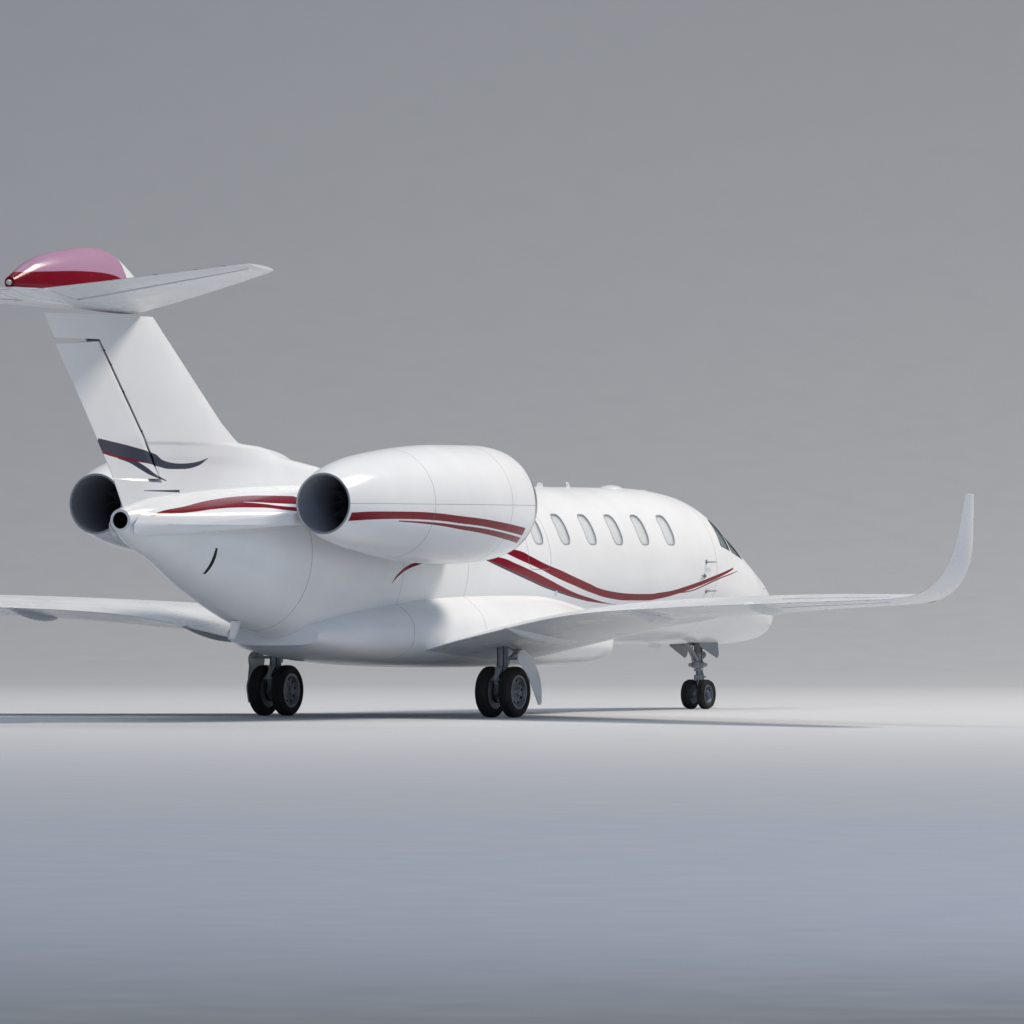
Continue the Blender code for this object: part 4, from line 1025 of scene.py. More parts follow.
SEALANT = Finish("polysulphide_sealant", "#4A4E54", 0.55, grain=0.004, relief=0.08)
RIM = Finish("anodised_window_frame", "#A3AAB1", 0.4, metallic=0.3, grain=0.004, relief=0.03)
DARK = Finish("epoxy_primer_grey", "#55595C", 0.6, grain=0.01, relief=0.05, mottle=0.2)
# Cabin window panes: the near-white colour is a painted reflection of a bright sky
ACRYLIC_PAINTED_REFLECTION = Pane("stretched_acrylic", "#EEF3F6", 0.04, ior=1.49, grain=0.2, relief=0.001, mottle=0.02)
WINDSCREEN = Pane("laminated_windscreen_glass", "#9FB0B8", 0.03, ior=1.52, grain=0.2, relief=0.001, mottle=0.02)
SHADE = Streaked("pleated_window_shade", "#ECEEF0", 0.75, stretch=(4.0, 4.0, 320.0), second="#CDD0D4", relief=0.2)
LINING = Finish("ultrasuede_lining", "#D5CDC0", 0.8, grain=0.004, relief=0.1, sheen=0.3)
LEATHER = Celled("aniline_leather", "#B59A7A", 0.46, grain=0.007, relief=0.12, mottle=0.12, sheen=0.1)
CARPET = Finish("wool_cut_pile", "#6C6154", 0.95, grain=0.004, relief=0.5, mottle=0.2, sheen=0.5)
VENEER = Streaked("varnished_burr_veneer", "#7A4A26", 0.18, coat=0.8, stretch=(6.0, 1.5, 10.0), second="#3F2211",
    share=0.9, relief=0.01)
GLARE = Finish("matt_black_glare_shield", "#1C1D1F", 0.85, grain=0.003, relief=0.2)
DISPLAY = Finish("display_glass", "#0B1622", 0.1, coat=1.0, grain=0.1, relief=0.001)
LENS_RED = Pane("red_lens", "#B01020", 0.1, grain=0.01, relief=0.05, alpha=0.9)
LENS_GREEN = Pane("green_lens", "#0C8A3C", 0.1, grain=0.01, relief=0.05, alpha=0.9)
LENS_CLEAR = Pane("clear_lens", "#E8EEF2", 0.06, grain=0.01, relief=0.05, alpha=0.6)


# --------------------------------------------------------------------------------------- the fuselage


@dataclass
class Fuselage:
    """The body in four shells, with its windows and doorway."""

    nose_frame: float = 0.8
    cockpit_front: float = 1.35
    cockpit_end: float = 3.3
    cabin_end: float = 12.4
    bulkhead: float = 10.6
    tail_hollow_end: float = 16.6
    wall: float = 0.08
    window_count: int = 7
    first_window: float = 4.64
    window_pitch: float = 0.776
    window_height: float = 2.44
    window_size: Point = (0.29, 0.4)
    door_stations: Point = (3.44, 4.2)
    door_heights: Point = (1.16, 2.76)
    panes: dict[str, tuple[Point, ...]] = field(default_factory=lambda: {"front": ((0.035, 1.93), (0.5, 2.1),
        (0.56, 2.62), (0.035, 2.66)), "side": ((2.08, 2.05), (2.62, 2.16), (2.62, 2.56), (2.46, 2.5)),
        "rear": ((2.7, 2.17), (3.05, 2.24), (2.98, 2.58), (2.7, 2.57))})

    def window_prisms(self, grow: float = 0.0, sides: tuple[int, ...] = (1, -1)) -> Mould:
        """Returns the windows' outlines pushed through the skin."""
        mould = Mould()
        for index in range(self.window_count):
            middle = (along(self.first_window + index * self.window_pitch), self.window_height)
            size = (self.window_size[0] + 2 * grow, self.window_size[1] + 2 * grow)
            for side in sides:
                mould.prism(lozenge(middle, size), "X", side * 0.6, side * 1.3)
        return mould

    def pane_prisms(self, grow: float = 0.0) -> Mould:
        """Returns the windscreen's outlines pushed through the skin."""
        mould = Mould()
        for side in (1, -1):
            front = softened([(side * x, along(station)) for x, station in self.panes["front"]], 0.05, grow)
            mould.prism(front, "Z", 1.95, 3.2)
            for name in ("side", "rear"):
                outline = softened([(along(station), z) for station, z in self.panes[name]], 0.05, grow)
                mould.prism(outline, "X", side * 0.56, side * 1.3)
        return mould

    def door_prism(self, grow: float = 0.0) -> Mould:
        """Returns the door's outline pushed through the skin."""
        (front, rear), (low, high) = self.door_stations, self.door_heights
        corners = [(along(front), low), (along(rear), low), (along(rear), high), (along(front), high)]
        return Mould().prism(softened(corners, 0.09, grow), "X", 0.3, 1.4)

    def radome(self) -> None:
        """The nose cone with its lightning strips."""
        tip = FUSELAGE.at(0)
        mould = Mould()
        rings = []
        for station, size in ((0, 0.25), (0.003, 0.6), (0.01, 0.88)):
            row = FUSELAGE.at(station)
            rings.append([Vector((0, along(station), tip[3])) + (point - Vector((0, point.y, tip[3]))) * size
                for point in oval(row)])
        mould.skin(rings + body_rings(0.03, self.nose_frame, pitch=0.05)).dress(0)
        for turn in range(6):
            strip = []
            for station in spread(0.16, self.nose_frame - 0.05, 0.08):
                strip.append(oval(FUSELAGE.at(station), 0.0005)[turn * 16 + 8])
            mould.pipe(strip, 0.0035, 6)
        mould.dress(1)
        publish(mould.object("radome_skin", [FUSELAGE_PAINT, MACHINED]), ["radome"])

    def forward(self) -> None:
        """The cockpit's shell with its windows and the nose gear's well."""
        mould = Mould()
        mould.skin(body_rings(self.nose_frame + 0.0005, self.cockpit_end, pitch=0.05), caps=(True, False)).dress(0)
        inner = body_rings(self.cockpit_front, self.cockpit_end, -self.wall)
        mould.skin(inner, caps=(True, False))
        mould.skin([body_rings(self.cockpit_end, self.cockpit_end)[0], inner[-1]], caps=(False, False)).dress(1)
        shell = mould.object("forward_skin", [FUSELAGE_PAINT, LINING])
        well = Mould().box((-0.21, along(1.75), 0.5), (0.21, along(2.61), 0.955)).dress(1)
        carve(shell, well.object("well", [LINING, DARK]))
        carve(shell, self.pane_prisms())
        publish(shell, ["forward_fuselage"])
        glass = body_strip(1.75, 3.2, -0.008, -0.024).object("windscreen_panes", [WINDSCREEN])
        carve(glass, self.pane_prisms(-0.002), "INTERSECT")
        publish(glass, ["cockpit_glazing"])
        seal = body_strip(1.75, 3.2, 0.0015, -0.03).object("windscreen_seals", [SEALANT])
        carve(seal, self.pane_prisms(0.016), "INTERSECT", crossing=True)
        carve(seal, self.pane_prisms(-0.006))
        publish(seal)

    def cabin(self) -> None:
        """The cabin's shell with its windows and doorway."""
        mould = Mould()
        mould.skin(body_rings(self.cockpit_end + 0.0005, self.cabin_end), caps=(False, False)).dress(0)
        inner = body_rings(self.cockpit_end + 0.0005, self.bulkhead, -self.wall)
        bay = body_rings(self.bulkhead + self.wall, self.cabin_end, -self.wall)
        mould.skin(inner, caps=(False, True)).skin(bay, caps=(True, False))
        mould.skin([body_rings(self.cockpit_end + 0.0005, self.cabin_end)[0], inner[0]], caps=(False, False))
        mould.skin([body_rings(self.cabin_end, self.cabin_end)[0], bay[-1]], caps=(False, False)).dress(1)
        shell = mould.object("cabin_skin", [FUSELAGE_PAINT, LINING])
        carve(shell, self.window_prisms())
        carve(shell, self.door_prism(0.007))
        publish(shell, ["cabin_fuselage"])

    def windows(self) -> None:
        """The cabin windows' panes, frames and shades. The shades are down on the starboard side."""
        start, end = self.first_window - 0.3, self.first_window + (self.window_count - 1) * self.window_pitch + 0.3
        # The panes' pale colour is a painted reflection
        pane = body_strip(start, end, -0.008, -0.016).object("cabin_window_panes", [ACRYLIC_PAINTED_REFLECTION])
        publish(carve(pane, self.window_prisms(-0.002), "INTERSECT"))
        frame = body_strip(start, end, 0.0015, -0.02).object("cabin_window_frames", [RIM])
        carve(frame, self.window_prisms(0.008), "INTERSECT")
        publish(carve(frame, self.window_prisms(-0.007)))
        shade = body_strip(start, end, -0.028, -0.034).object("window_shades", [SHADE])
        publish(carve(shade, self.window_prisms(-0.003, (-1,)), "INTERSECT"))
        reveal = body_strip(start, end, -self.wall + 0.01, -self.wall - 0.006).object("window_reveals", [LINING])
        carve(reveal, self.window_prisms(0.03), "INTERSECT")
        publish(carve(reveal, self.window_prisms(-0.012)))

    def tail(self) -> None:
        """The tail's shell with the auxiliary unit's exhaust."""
        mould = Mould()
        rear = FUSELAGE.rows[-1]
        mould.skin(body_rings(self.cabin_end + 0.0005, rear[0]), caps=(False, True)).dress(0)
        inner = body_rings(self.cabin_end + 0.0005, self.tail_hollow_end, -0.05)
        mould.skin(inner, caps=(False, True))
        mould.skin([body_rings(self.cabin_end + 0.0005, 13)[0], inner[0]], caps=(False, False)).dress(1)
        shell = mould.object("tail_skin", [FUSELAGE_PAINT, DARK])
        bore = Mould().rod((0, along(rear[0] - 0.35), rear[3]), (0, along(rear[0] + 0.1), rear[3]), 0.105,
            sides=48).dress(1)
        publish(carve(shell, bore.object("bore", [DARK, DARK])), ["tail_fuselage"])
        pipe = Mould().turn([(-0.33, 0.103), (0.004, 0.103), (0.004, 0.092), (-0.33, 0.092)],
            (0, along(rear[0]), rear[3]), (0, 1, 0), 64, closed=True)
        publish(pipe.object("auxiliary_exhaust", [SOOTED]))

    def build(self) -> None:
        """Builds the shells in order."""
        self.radome()
        self.forward()
        self.cabin()
        self.windows()
        self.tail()


@dataclass
class BellyFairing:
    """The fairing round the wing's root."""

    squareness: float = 0.62

    def build(self) -> None:
        """Builds the fairing, hollowed for the cabin."""
        rows = FAIRING.rows
        rings = [oval(FAIRING.at(station), 0, self.squareness) for station in spread(rows[0][0], rows[-1][0], 0.1)]
        fairing = Mould().skin(rings).object("belly_fairing_skin", [FUSELAGE_PAINT])
        carve(fairing, Mould().skin(body_rings(5.3, 14.5, -0.012)))
        publish(fairing, ["belly_fairing"])


# -------------------------------------------------------------------------------- wings and tail surfaces


@dataclass
class Wing:
    """One wing with its winglet, flap and aileron."""

    side: int
    name: str
    skin: Surface = field(default_factory=lambda: Surface(WING))
    flap_butts: Point = (1.36, 6.95)
    aileron_butts: Point = (7.05, 9.1)
    chord_share: float = 0.76
    leg: tuple[float, float, float] = (1.665, 10.96, 1.02)

    def solid(self, name: str, end: float = 10.5) -> Piece:
        """Returns the wing's whole shape out to a butt line."""
        butts = spread(0.92, 9.3, 0.15) + spread(9.36, 10.5, 0.04)
        rings = [self.skin.rib(butt, self.side) for butt in butts if butt <= end]
        mould = Mould().skin(rings).dress(0).dress(1, self.skin.near_nose(0.03, 10.45))
        return mould.object(name, [WING_PAINT, POLISHED, DARK])

    def build(self) -> None:
        """Builds the wing, its flap and its aileron."""
        wing = self.solid(f"wing_{self.name}_skin")
        carve(wing, self.skin.plan((self.flap_butts[0] - 0.004, self.flap_butts[1] + 0.004),
            self.chord_share - 0.0015, self.side))
        carve(wing, self.skin.bay(self.aileron_butts, self.chord_share, self.side))
        x, station, top = self.leg
        carve(wing, Mould().rod((self.side * x, along(station), 0.4), (self.side * x, along(station), top + 0.001),
            0.0755, sides=48))
        publish(wing, [f"wing_{self.name}"])
        flap = self.solid(f"flap_{self.name}_skin", 7.6)
        carve(flap, self.skin.plan(self.flap_butts, self.chord_share + 0.0015, self.side), "INTERSECT")
        publish(flap, [f"flap_{self.name}"])
        aileron = self.skin.panel(self.aileron_butts, self.chord_share, self.side)
        publish(aileron.object(f"aileron_{self.name}_skin", [WING_PAINT]), [f"aileron_{self.name}"],
            f"aileron_{self.name}")


@dataclass
class Tailplane:
    """The tailplane across the fin with its two elevators."""

    skin: Surface = field(default_factory=lambda: Surface(TAILPLANE, belly=0.5))
    butts: Point = (0.4, 3.82)
    chord_share: float = 0.72

    def build(self) -> None:
        """Builds the tailplane and the elevators."""
        places = spread(0.05, 3.8, 0.15) + spread(3.84, 3.98, 0.04)
        rings = [self.skin.rib(butt, -1) for butt in reversed(places)] + [self.skin.rib(butt, 1) for butt in places]
        mould = Mould().skin(rings).dress(0).dress(1, self.skin.near_nose(0.035, 3.95))
        whole = mould.object("tailplane_skin", [WING_PAINT, POLISHED])
        for side, name in SIDES:
            carve(whole, self.skin.bay(self.butts, self.chord_share, side))
            elevator = self.skin.panel(self.butts, self.chord_share, side)
            publish(elevator.object(f"elevator_{name}_skin", [WING_PAINT]), [f"elevator_{name}"],
                f"elevator_{name}")
        publish(whole, ["stabiliser"])


@dataclass
class Fin:
    """The fin with its dorsal fairing, the rudder and the cap."""

    hinge: tuple[Point, Point] = ((2.97, 17.15), (4.73, 18.8))
    rudder_heights: Point = (3.03, 4.74)
    top_gap: float = 0.03
    top_drop: float = 0.05
    hinge_marks: tuple[float, ...] = (3.12, 3.617, 4.1, 4.43, 4.605)
    edge: float = 0.006

    def ring(self, height: float) -> list[Vector]:
        """Returns the fin's ring at a height."""
        _, front, rear, thickness = FIN.at(height)
        shares = eased(30)
        widths = [max(half_thickness(share) * thickness, self.edge / 2) if share else 0.0 for share in shares]
        port = [Vector((width, along(front + (rear - front) * share), height))
            for share, width in zip(shares, widths)]
        return port[::-1] + [Vector((-point.x, point.y, height)) for point in port[1:]]

    def hinge_station(self, height: float) -> float:
        """Returns the station of the rudder's hinge at a height."""
        (low, foot), (high, head) = self.hinge
        return foot + (head - foot) * (height - low) / (high - low)

    def ring_width(self, height: float) -> float:
        """Returns half the fin's thickness at the rudder's hinge."""
        _, front, rear, thickness = FIN.at(height)
        return half_thickness((self.hinge_station(height) - front) / (rear - front)) * thickness

    def rudder_ring(self, height: float, drop: float) -> list[Vector]:
        """Returns the rudder's ring at a height, its trailing edge lowered by drop."""
        _, front, rear, thickness = FIN.at(height)
        hinge, chord = self.hinge_station(height), rear - front
        share = (hinge - front) / chord
        radius = half_thickness(share) * thickness * 0.92
        rows = [(radius * sin(turn), hinge - radius * cos(turn)) for turn in (radians(angle)
            for angle in range(-75, 76, 15))]
        places = [share + (1 - share) * step for step in (0.025, 0.1, 0.2, 0.4, 0.6, 0.8, 0.93, 1.0)]
        sides = [(max(half_thickness(place) * thickness, self.edge / 2), front + chord * place) for place in places]
        rows += sides + [(-width, station) for width, station in reversed(sides)]
        reach = rear - hinge
        return [Vector((x, along(station), height - drop * max(0, (station - hinge) / reach)))
            for x, station in rows]

    def build(self) -> None:
        """Builds the fin, the rudder and the cap."""
        rings = [self.ring(height) for height in spread(FIN.rows[0][0], FIN.rows[-1][0], 0.015)]
        fin = Mould().skin(rings).object("fin_skin", [FIN_PAINT])
        low, high = self.rudder_heights
        for front, rear, wide, dip in ((0.058, -1.25, 0.6, 0.045), (0.135, 0.04, None, 0.045)):
            bay = []
            for height in spread(low, high, 0.3):
                half = wide or self.ring_width(height) - 0.008
                hinge = self.hinge_station(height)
                sink = 0.003 if height == low else 0.0
                bay.append([Vector((x, along(hinge - far), height - sink - (dip if far == front and sink else 0.0)))
                    for x, far in ((half, front), (half, rear), (-half, rear), (-half, front))])
            carve(fin, Mould().skin(bay))
        publish(fin, ["fin"])
        heights = spread(low, high - self.top_gap, 0.08)
        drops = [self.top_drop * ((height - low) / (high - low)) ** 3 for height in heights]
        rudder = Mould().skin([self.rudder_ring(height, drop) for height, drop in zip(heights, drops)])
        publish(rudder.object("rudder_skin", [FIN_PAINT]), ["rudder"], "rudder")
        marks = Mould()
        for height in self.hinge_marks:
            hinge, half = self.hinge_station(height), self.ring_width(height)
            for way in (1, -1):
                low_x, high_x = sorted((way * (half - 0.02), way * (half + 0.004)))
                marks.box((low_x, along(hinge - 0.11), height - 0.014), (high_x, along(hinge - 0.047), height
                    + 0.014), 0.004)
        publish(marks.dress(0).object("rudder_hinge_fittings", [DARK]))
        first, last = FIN_CAP.rows[0][0], FIN_CAP.rows[-1][0]
        cap = Mould().skin([oval(FIN_CAP.at(station), 0, 1.0, 64) for station in spread(first, last, 0.06)])
        publish(cap.object("fin_cap_skin", [CAP_PAINT]), ["fin_cap"])


# ------------------------------------------------------------------------------------------- the engines


@dataclass
class Engine:
    """One engine: its nacelle, fan, core and pylon."""

    side: int
    name: str
    butt: float = 1.63
    height: float = 2.73
    duct: float = 0.5
    outside: Track = Track(((11.06, 0.555), (11.09, 0.6), (11.2, 0.65), (11.5, 0.705), (12.0, 0.742), (12.6, 0.755),
        (13.3, 0.738), (14.1, 0.675), (15.0, 0.563), (15.45, 0.478), (15.78, 0.385)))
    inside: Track = Track(((11.07, 0.51), (11.12, 0.49), (11.36, 0.5), (14.12, 0.5), (14.7, 0.4), (15.78, 0.36)))
    # Station and how much fuller than round the cowling's crown is
    hump: Track = Track(((11.06, 0), (11.14, 0.004), (11.35, 0.045), (11.7, 0.04), (12.2, 0.016), (12.8, 0.01),
        (14.0, 0.02), (15.0, 0.032), (15.45, 0.02), (15.78, 0)))
    blades: int = 22
    fan_stations: Point = (11.62, 11.84)
    lobes: int = 14

    @property
    def centre(self) -> tuple[float, float, float]:
        """The engine's axis at station nought."""
        return (self.side * self.butt, along(0), self.height)

    def nacelle(self) -> None:
        """The cowling, lip, duct and nozzle."""
        lip = [(11.06 + 0.045 * (1 - sin(turn)), 0.545 + 0.045 * cos(turn) * (1.0 if turn < pi / 2 else 0.8))
            for turn in spread(0.25, pi - 0.3, 0.25)]
        outer = [self.outside.at(station) for station in spread(11.12, 15.78, 0.08)]
        inner = [self.inside.at(station) for station in spread(15.78, 11.16, 0.1)]
        outline = outer + inner + [(station, radius) for station, radius in reversed(lip)]
        mould = Mould().turn(outline, self.centre, (0, 1, 0), 96, closed=True).dress(0)
        axis = Vector(self.centre)
        def radius_of(face: Face) -> float:
            """The face's distance from the axis."""
            middle = face.calc_center_median()
            return hypot(middle.x - axis.x, middle.z - axis.z)
        def station_of(face: Face) -> float:
            """The face's station."""
            return face.calc_center_median().y + LENGTH / 2
        mould.dress(1, lambda face: station_of(face) < 11.28 and radius_of(face) > 0.485)
        mould.dress(2, lambda face: radius_of(face) < 0.505 and 11.2 < station_of(face) < 14.3)
        mould.dress(3, lambda face: radius_of(face) < self.inside.at(station_of(face))[1] + 0.012
            and station_of(face) > 14.3)
        mould.dress(1, lambda face: station_of(face) > 15.75 and radius_of(face) > 0.366)
        for corner in mould.mesh.verts:
            station, arm = corner.co.y + LENGTH / 2, Vector((corner.co.x - axis.x, 0, corner.co.z - axis.z))
            if arm.length > self.inside.at(station)[1] + 0.01 and arm.z > 0:
                arm *= self.hump.at(station)[1] * (arm.z / arm.length) ** 2 / arm.length
                corner.co += arm
        finishes = [NACELLE_PAINT, POLISHED, DARK, LINER]
        publish(mould.object(f"nacelle_{self.name}_skin", finishes), [f"nacelle_{self.name}"])

    def fan(self) -> None:
        """The wide fan blades, the spinner and the hub."""
        x, _, z = self.centre
        front, rear = (along(station) for station in self.fan_stations)
        middle = (front + rear) / 2
        rings = []
        for share in spread(0, 1.0, 0.1):
            radius = 0.145 + (0.485 - 0.145) * share
            turn, chord = radians(28 + 34 * share), 0.115 + 0.045 * sin(pi * share * 0.9)
            bow = 0.02 * sin(pi * share)
            ring = []
            for place in eased(8):
                ring.append((place - 0.5, half_thickness(place) * 0.055))
            outline = ring[::-1] + [(place, -width) for place, width in ring[1:-1]]
            loop = []
            for place, width in outline:
                across, deep = place * chord * sin(turn) + width * cos(turn), place * chord * cos(turn)
                angle = (across + bow) / radius
                loop.append(Vector((x + radius * sin(angle), middle + deep - width * sin(turn) * 0.5, z
                    + radius * cos(angle))))
            rings.append(loop)
        mould = Mould().skin(rings).repeat(self.blades, (x, 0, z), (0, 1, 0)).dress(0)
        spinner = [(front - 0.2, 0), (front - 0.197, 0.014), (front - 0.17, 0.045), (front - 0.11, 0.088),
            (front - 0.04, 0.126), (front + 0.01, 0.148), (rear, 0.15), (along(11.899), 0.15), (along(11.899), 0)]
        mould.turn(spinner, (x, 0, z), (0, 1, 0), 64).dress(1)
        for turn in spread(0.5, 5.6, 0.25):
            share = (turn - 0.5) / 5.1
            start, radius = front - 0.165 + 0.115 * share, 0.05 + 0.071 * share
            mould.rod((x + radius * sin(turn), start - 0.001, z + radius * cos(turn)), (x
                + (radius + 0.008) * sin(turn + 0.3), start + 0.012, z + (radius + 0.008) * cos(turn + 0.3)), 0.006,
                sides=8)
        mould.dress(2)
        finishes = [FORGED, MACHINED, GEAR_ENAMEL_AND_DOOR_SHADE]
        publish(mould.object(f"fan_{self.name}_blades", finishes), [f"fan_{self.name}"], f"fan_{self.name}")

    def core(self) -> None:
        """The core as seen past the fan and in the nozzle: guide vanes, lobed mixer and cone."""
        x, _, z = self.centre
        body = [(11.9, 0), (11.9, 0.27), (12.4, 0.3), (13.6, 0.34), (14.1, 0.36), (14.12, 0)]
        mould = Mould().turn(body, self.centre, (0, 1, 0), 64).dress(0)
        vane = [(x - 0.004, along(12.02), z + 0.26), (x + 0.004, along(12.14), z + 0.505)]
        vanes = Mould().box(*vane, bevel=0.002, segments=1).repeat(44, (x, 0, z), (0, 1, 0))
        mixer = []
        for station, radius, wave in ((14.08, 0.345, 0), (14.35, 0.33, 0.02), (14.65, 0.3, 0.05),
            (14.9, 0.275, 0.075)):
            mixer.append([Vector((x + (radius + wave * cos(turn * self.lobes)) * cos(turn), along(station), z
                + (radius + wave * cos(turn * self.lobes)) * sin(turn))) for turn in turns(168)])
        inner = [[Vector((x, point.y, z)) + (point - Vector((x, point.y, z))) * 0.985 for point in ring]
            for ring in mixer]
        mould.dress(0).skin(mixer + inner[::-1], loop=True).dress(1)
        cone = [(14.0, 0), (14.0, 0.2), (14.5, 0.175), (14.8, 0.12), (15.0, 0.05), (15.045, 0)]
        mould.turn(cone, self.centre, (0, 1, 0), 64).dress(1)
        publish(mould.object(f"engine_core_{self.name}_block", [DARK, LINER]), [f"engine_core_{self.name}"])
        publish(vanes.object(f"guide_vanes_{self.name}", [MACHINED]))

    def pylon(self) -> None:
        """The pylon from the fuselage's skin to the nacelle's."""
        shares = eased(36)
        start, end = PYLON.rows[0][0], PYLON.rows[-1][0]
        upper = [(start + (end - start) * share, PYLON.at(start + (end - start) * share)[1]) for share in shares]
        lower = [(start + (end - start) * share, PYLON.at(start + (end - start) * share)[2]) for share in shares]
        outline = [(*point, 0) for point in upper] + [(*point, 1.0) for point in lower[-2:0:-1]]
        rings = []
        for far in spread(0, 1.0, 0.1):
            ring = []
            for station, height, below in outline:
                root = skin_butt(station, height) - 0.03
                height += below * far * 0.17 * min(1.0, max(0, (station - 15.2) / 2.2))
                out = 11.85 + (station - 11.75) * 3.5 / 6.1
                radius = self.outside.at(out)[1]
                tip = self.butt - sqrt(max(0, radius**2 - (height - self.height) ** 2)) + 0.02
                x = root + (tip - root) * far
                ring.append(Vector((x, along(station + (out - station) * (x - 0.25) / 1.03), height)))
            rings.append(ring)
        mould = Mould().skin(rings).object(f"pylon_{self.name}_skin", [FUSELAGE_PAINT], mirrored=self.side < 0)
        publish(mould, [f"pylon_{self.name}"])

    def build(self) -> None:
        """Builds the engine's pieces."""
        self.nacelle()
        self.fan()
        self.core()
        self.pylon()


# -------------------------------------------------------------------------------------- the landing gear


@dataclass(frozen=True)
class TwinWheels:
    """Two wheels on one axle, with their tyres and brakes. Distances go along the axle from the leg."""

    radius: float
    half: float
    rim: float
    twin: float
    holes: int
    chine: float = 0.0
    wall: float = 0.022
    grooves: tuple[float, ...] = (-0.42, -0.15, 0.15, 0.42)
    enamel: Finish = WHEEL_ENAMEL

    def tyre(self) -> list[Point]:
        """Returns the outline of the outer tyre with its bead, sidewalls and grooves."""
        foot, rise = self.rim + self.wall, self.radius - self.rim - self.wall
        wall = [(0.86, 0), (0.93, 0.12), (0.985, 0.28), (1.0, 0.45), (0.975, 0.6), (0.905, 0.74), (0.8, 0.85),
            (0.69, 0.925), (0.57, 0.965)]
        side = [(far * self.half, foot + share * rise) for far, share in wall]
        if self.chine:
            side[5:5] = [(self.half * 1.0, foot + 0.66 * rise), (self.half + self.chine, foot + 0.72 * rise),
                (self.half * 0.98, foot + 0.73 * rise)]
        bead = [(self.half * 0.86 - 0.0123, self.rim + 0.0003), (self.half * 0.86 - 0.0123, foot - 0.003)]
        tread = []
        for groove in reversed(self.grooves):
            middle = groove * self.half
            top = self.radius - 0.035 * rise * (groove / 0.57) ** 2
            tread += [(middle + 0.004, top), (middle + 0.0022, top - 0.007), (middle - 0.0022, top - 0.007),
                (middle - 0.004, top)]
        left = [(-far, radius) for far, radius in reversed(bead + side[:5] + side[-4:])]
        return [(self.twin + far, radius) for far, radius in bead + side + tread + left]

    def rim_outline(self) -> list[Point]:
        """Returns the outline of the outer wheel: inner flange, well, outer flange, dished web and hub."""
        edge, flange = self.half * 0.86, self.rim + 0.018
        inner, outer = self.twin - edge, self.twin + edge
        return [(outer - 0.02, 0), (outer - 0.02, 0.03), (inner, 0.03), (inner, self.rim * 0.72),
            (inner, flange - 0.003), (inner + 0.003, flange), (inner + 0.009, flange),
            (inner + 0.0115, flange - 0.003), (inner + 0.013, self.rim), (outer - 0.013, self.rim),
            (outer - 0.0115, flange - 0.003), (outer - 0.009, flange), (outer - 0.003, flange),
            (outer, flange - 0.003), (outer, self.rim * 0.97), (outer - 0.003, self.rim * 0.93),
            (outer - self.half * 0.3, self.rim * 0.88), (outer - self.half * 0.46, self.rim * 0.8),
            (outer - self.half * 0.52, self.rim * 0.62), (outer - self.half * 0.4, self.rim * 0.42),
            (outer - self.half * 0.22, 0.056), (outer - 0.004, 0.05), (outer + 0.005, 0.045),
            (outer + 0.008, 0.038), (outer + 0.008, 0.022), (outer + 0.004, 0.02), (outer + 0.004, 0)]

    def build(self, label: str, body: str, x: float, station: float) -> None:
        """Builds the wheels and tyres.

        Args:
            label: The start of the CAD nodes' names.
            body: The body that they turn with.
            x: The leg's butt line.
            station: The leg's station.
        """
        centre = Vector((x, along(station), self.radius))
        wheels = Mould()
        for way in (1, -1):
            wheels.turn(self.rim_outline(), centre, (way, 0, 0), 72)
        wheels.dress(0)
        outer = self.twin + self.half * 0.86
        cutter, bolts = Mould(), Mould()
        for way in (1, -1):
            for turn in turns(self.holes):
                arm = Vector((0, sin(turn), cos(turn)))
                hole = centre + arm * self.rim * 0.71
                cutter.rod(hole + Vector((way * (outer + 0.05), 0, 0)), hole
                    + Vector((way * (outer - self.half * 0.95), 0, 0)), self.rim * 0.105, sides=20)
                between = Vector((0, sin(turn + pi / self.holes), cos(turn + pi / self.holes)))
                bolt = centre + between * self.rim * 0.8 + Vector((way * (outer - self.half * 0.5), 0, 0))
                bolts.rod(bolt, bolt + Vector((way * 0.012, 0, 0)), self.rim * 0.042, sides=6)
                bolts.rod(bolt + Vector((way * 0.011, 0, 0)), bolt + Vector((way * 0.019, 0, 0)), self.rim * 0.02,
                    sides=12)
        cutter.dress(1)
        finishes = [self.enamel, GLARE]
        publish(carve(wheels.object(f"{label}_wheel_pair", finishes), cutter.object("holes", finishes)),
            [f"{label}_wheels"], body)
        publish(bolts.dress(0).object(f"{label}_tie_bolts", [STEEL]), body=body)
        for end, way in (("inner", -1), ("outer", 1)):
            direction = way * (1 if x >= 0 else -1)
            tyre = Mould().turn(self.tyre(), centre, (direction, 0, 0), 108, closed=True)
            for share in (0.3, 0.62):
                place = self.rim + self.wall + share * (self.radius - self.rim - self.wall)
                ring = [(self.twin + self.half * 0.985, place - 0.004), (self.twin + self.half * 1.012,
                    place - 0.002), (self.twin + self.half * 1.012, place + 0.002), (self.twin + self.half * 0.96,
                    place + 0.004)]
                tyre.turn(ring, centre, (direction, 0, 0), 108, closed=True)
            publish(tyre.object(f"{label}_{end}_tyre_carcass", [TYRE]), [f"{label}_tyre_{end}"], body)


MAIN_WHEELS = TwinWheels(0.33, 0.084, 0.205, 0.168, 9)
# The nose wheels take the darker blue-grey enamel, which is painted shade
NOSE_WHEELS = TwinWheels(0.203, 0.056, 0.115, 0.112, 6, chine=0.01, grooves=(-0.3, 0, 0.3), enamel=NOSE_WHEEL_ENAMEL_AND_SHADE)


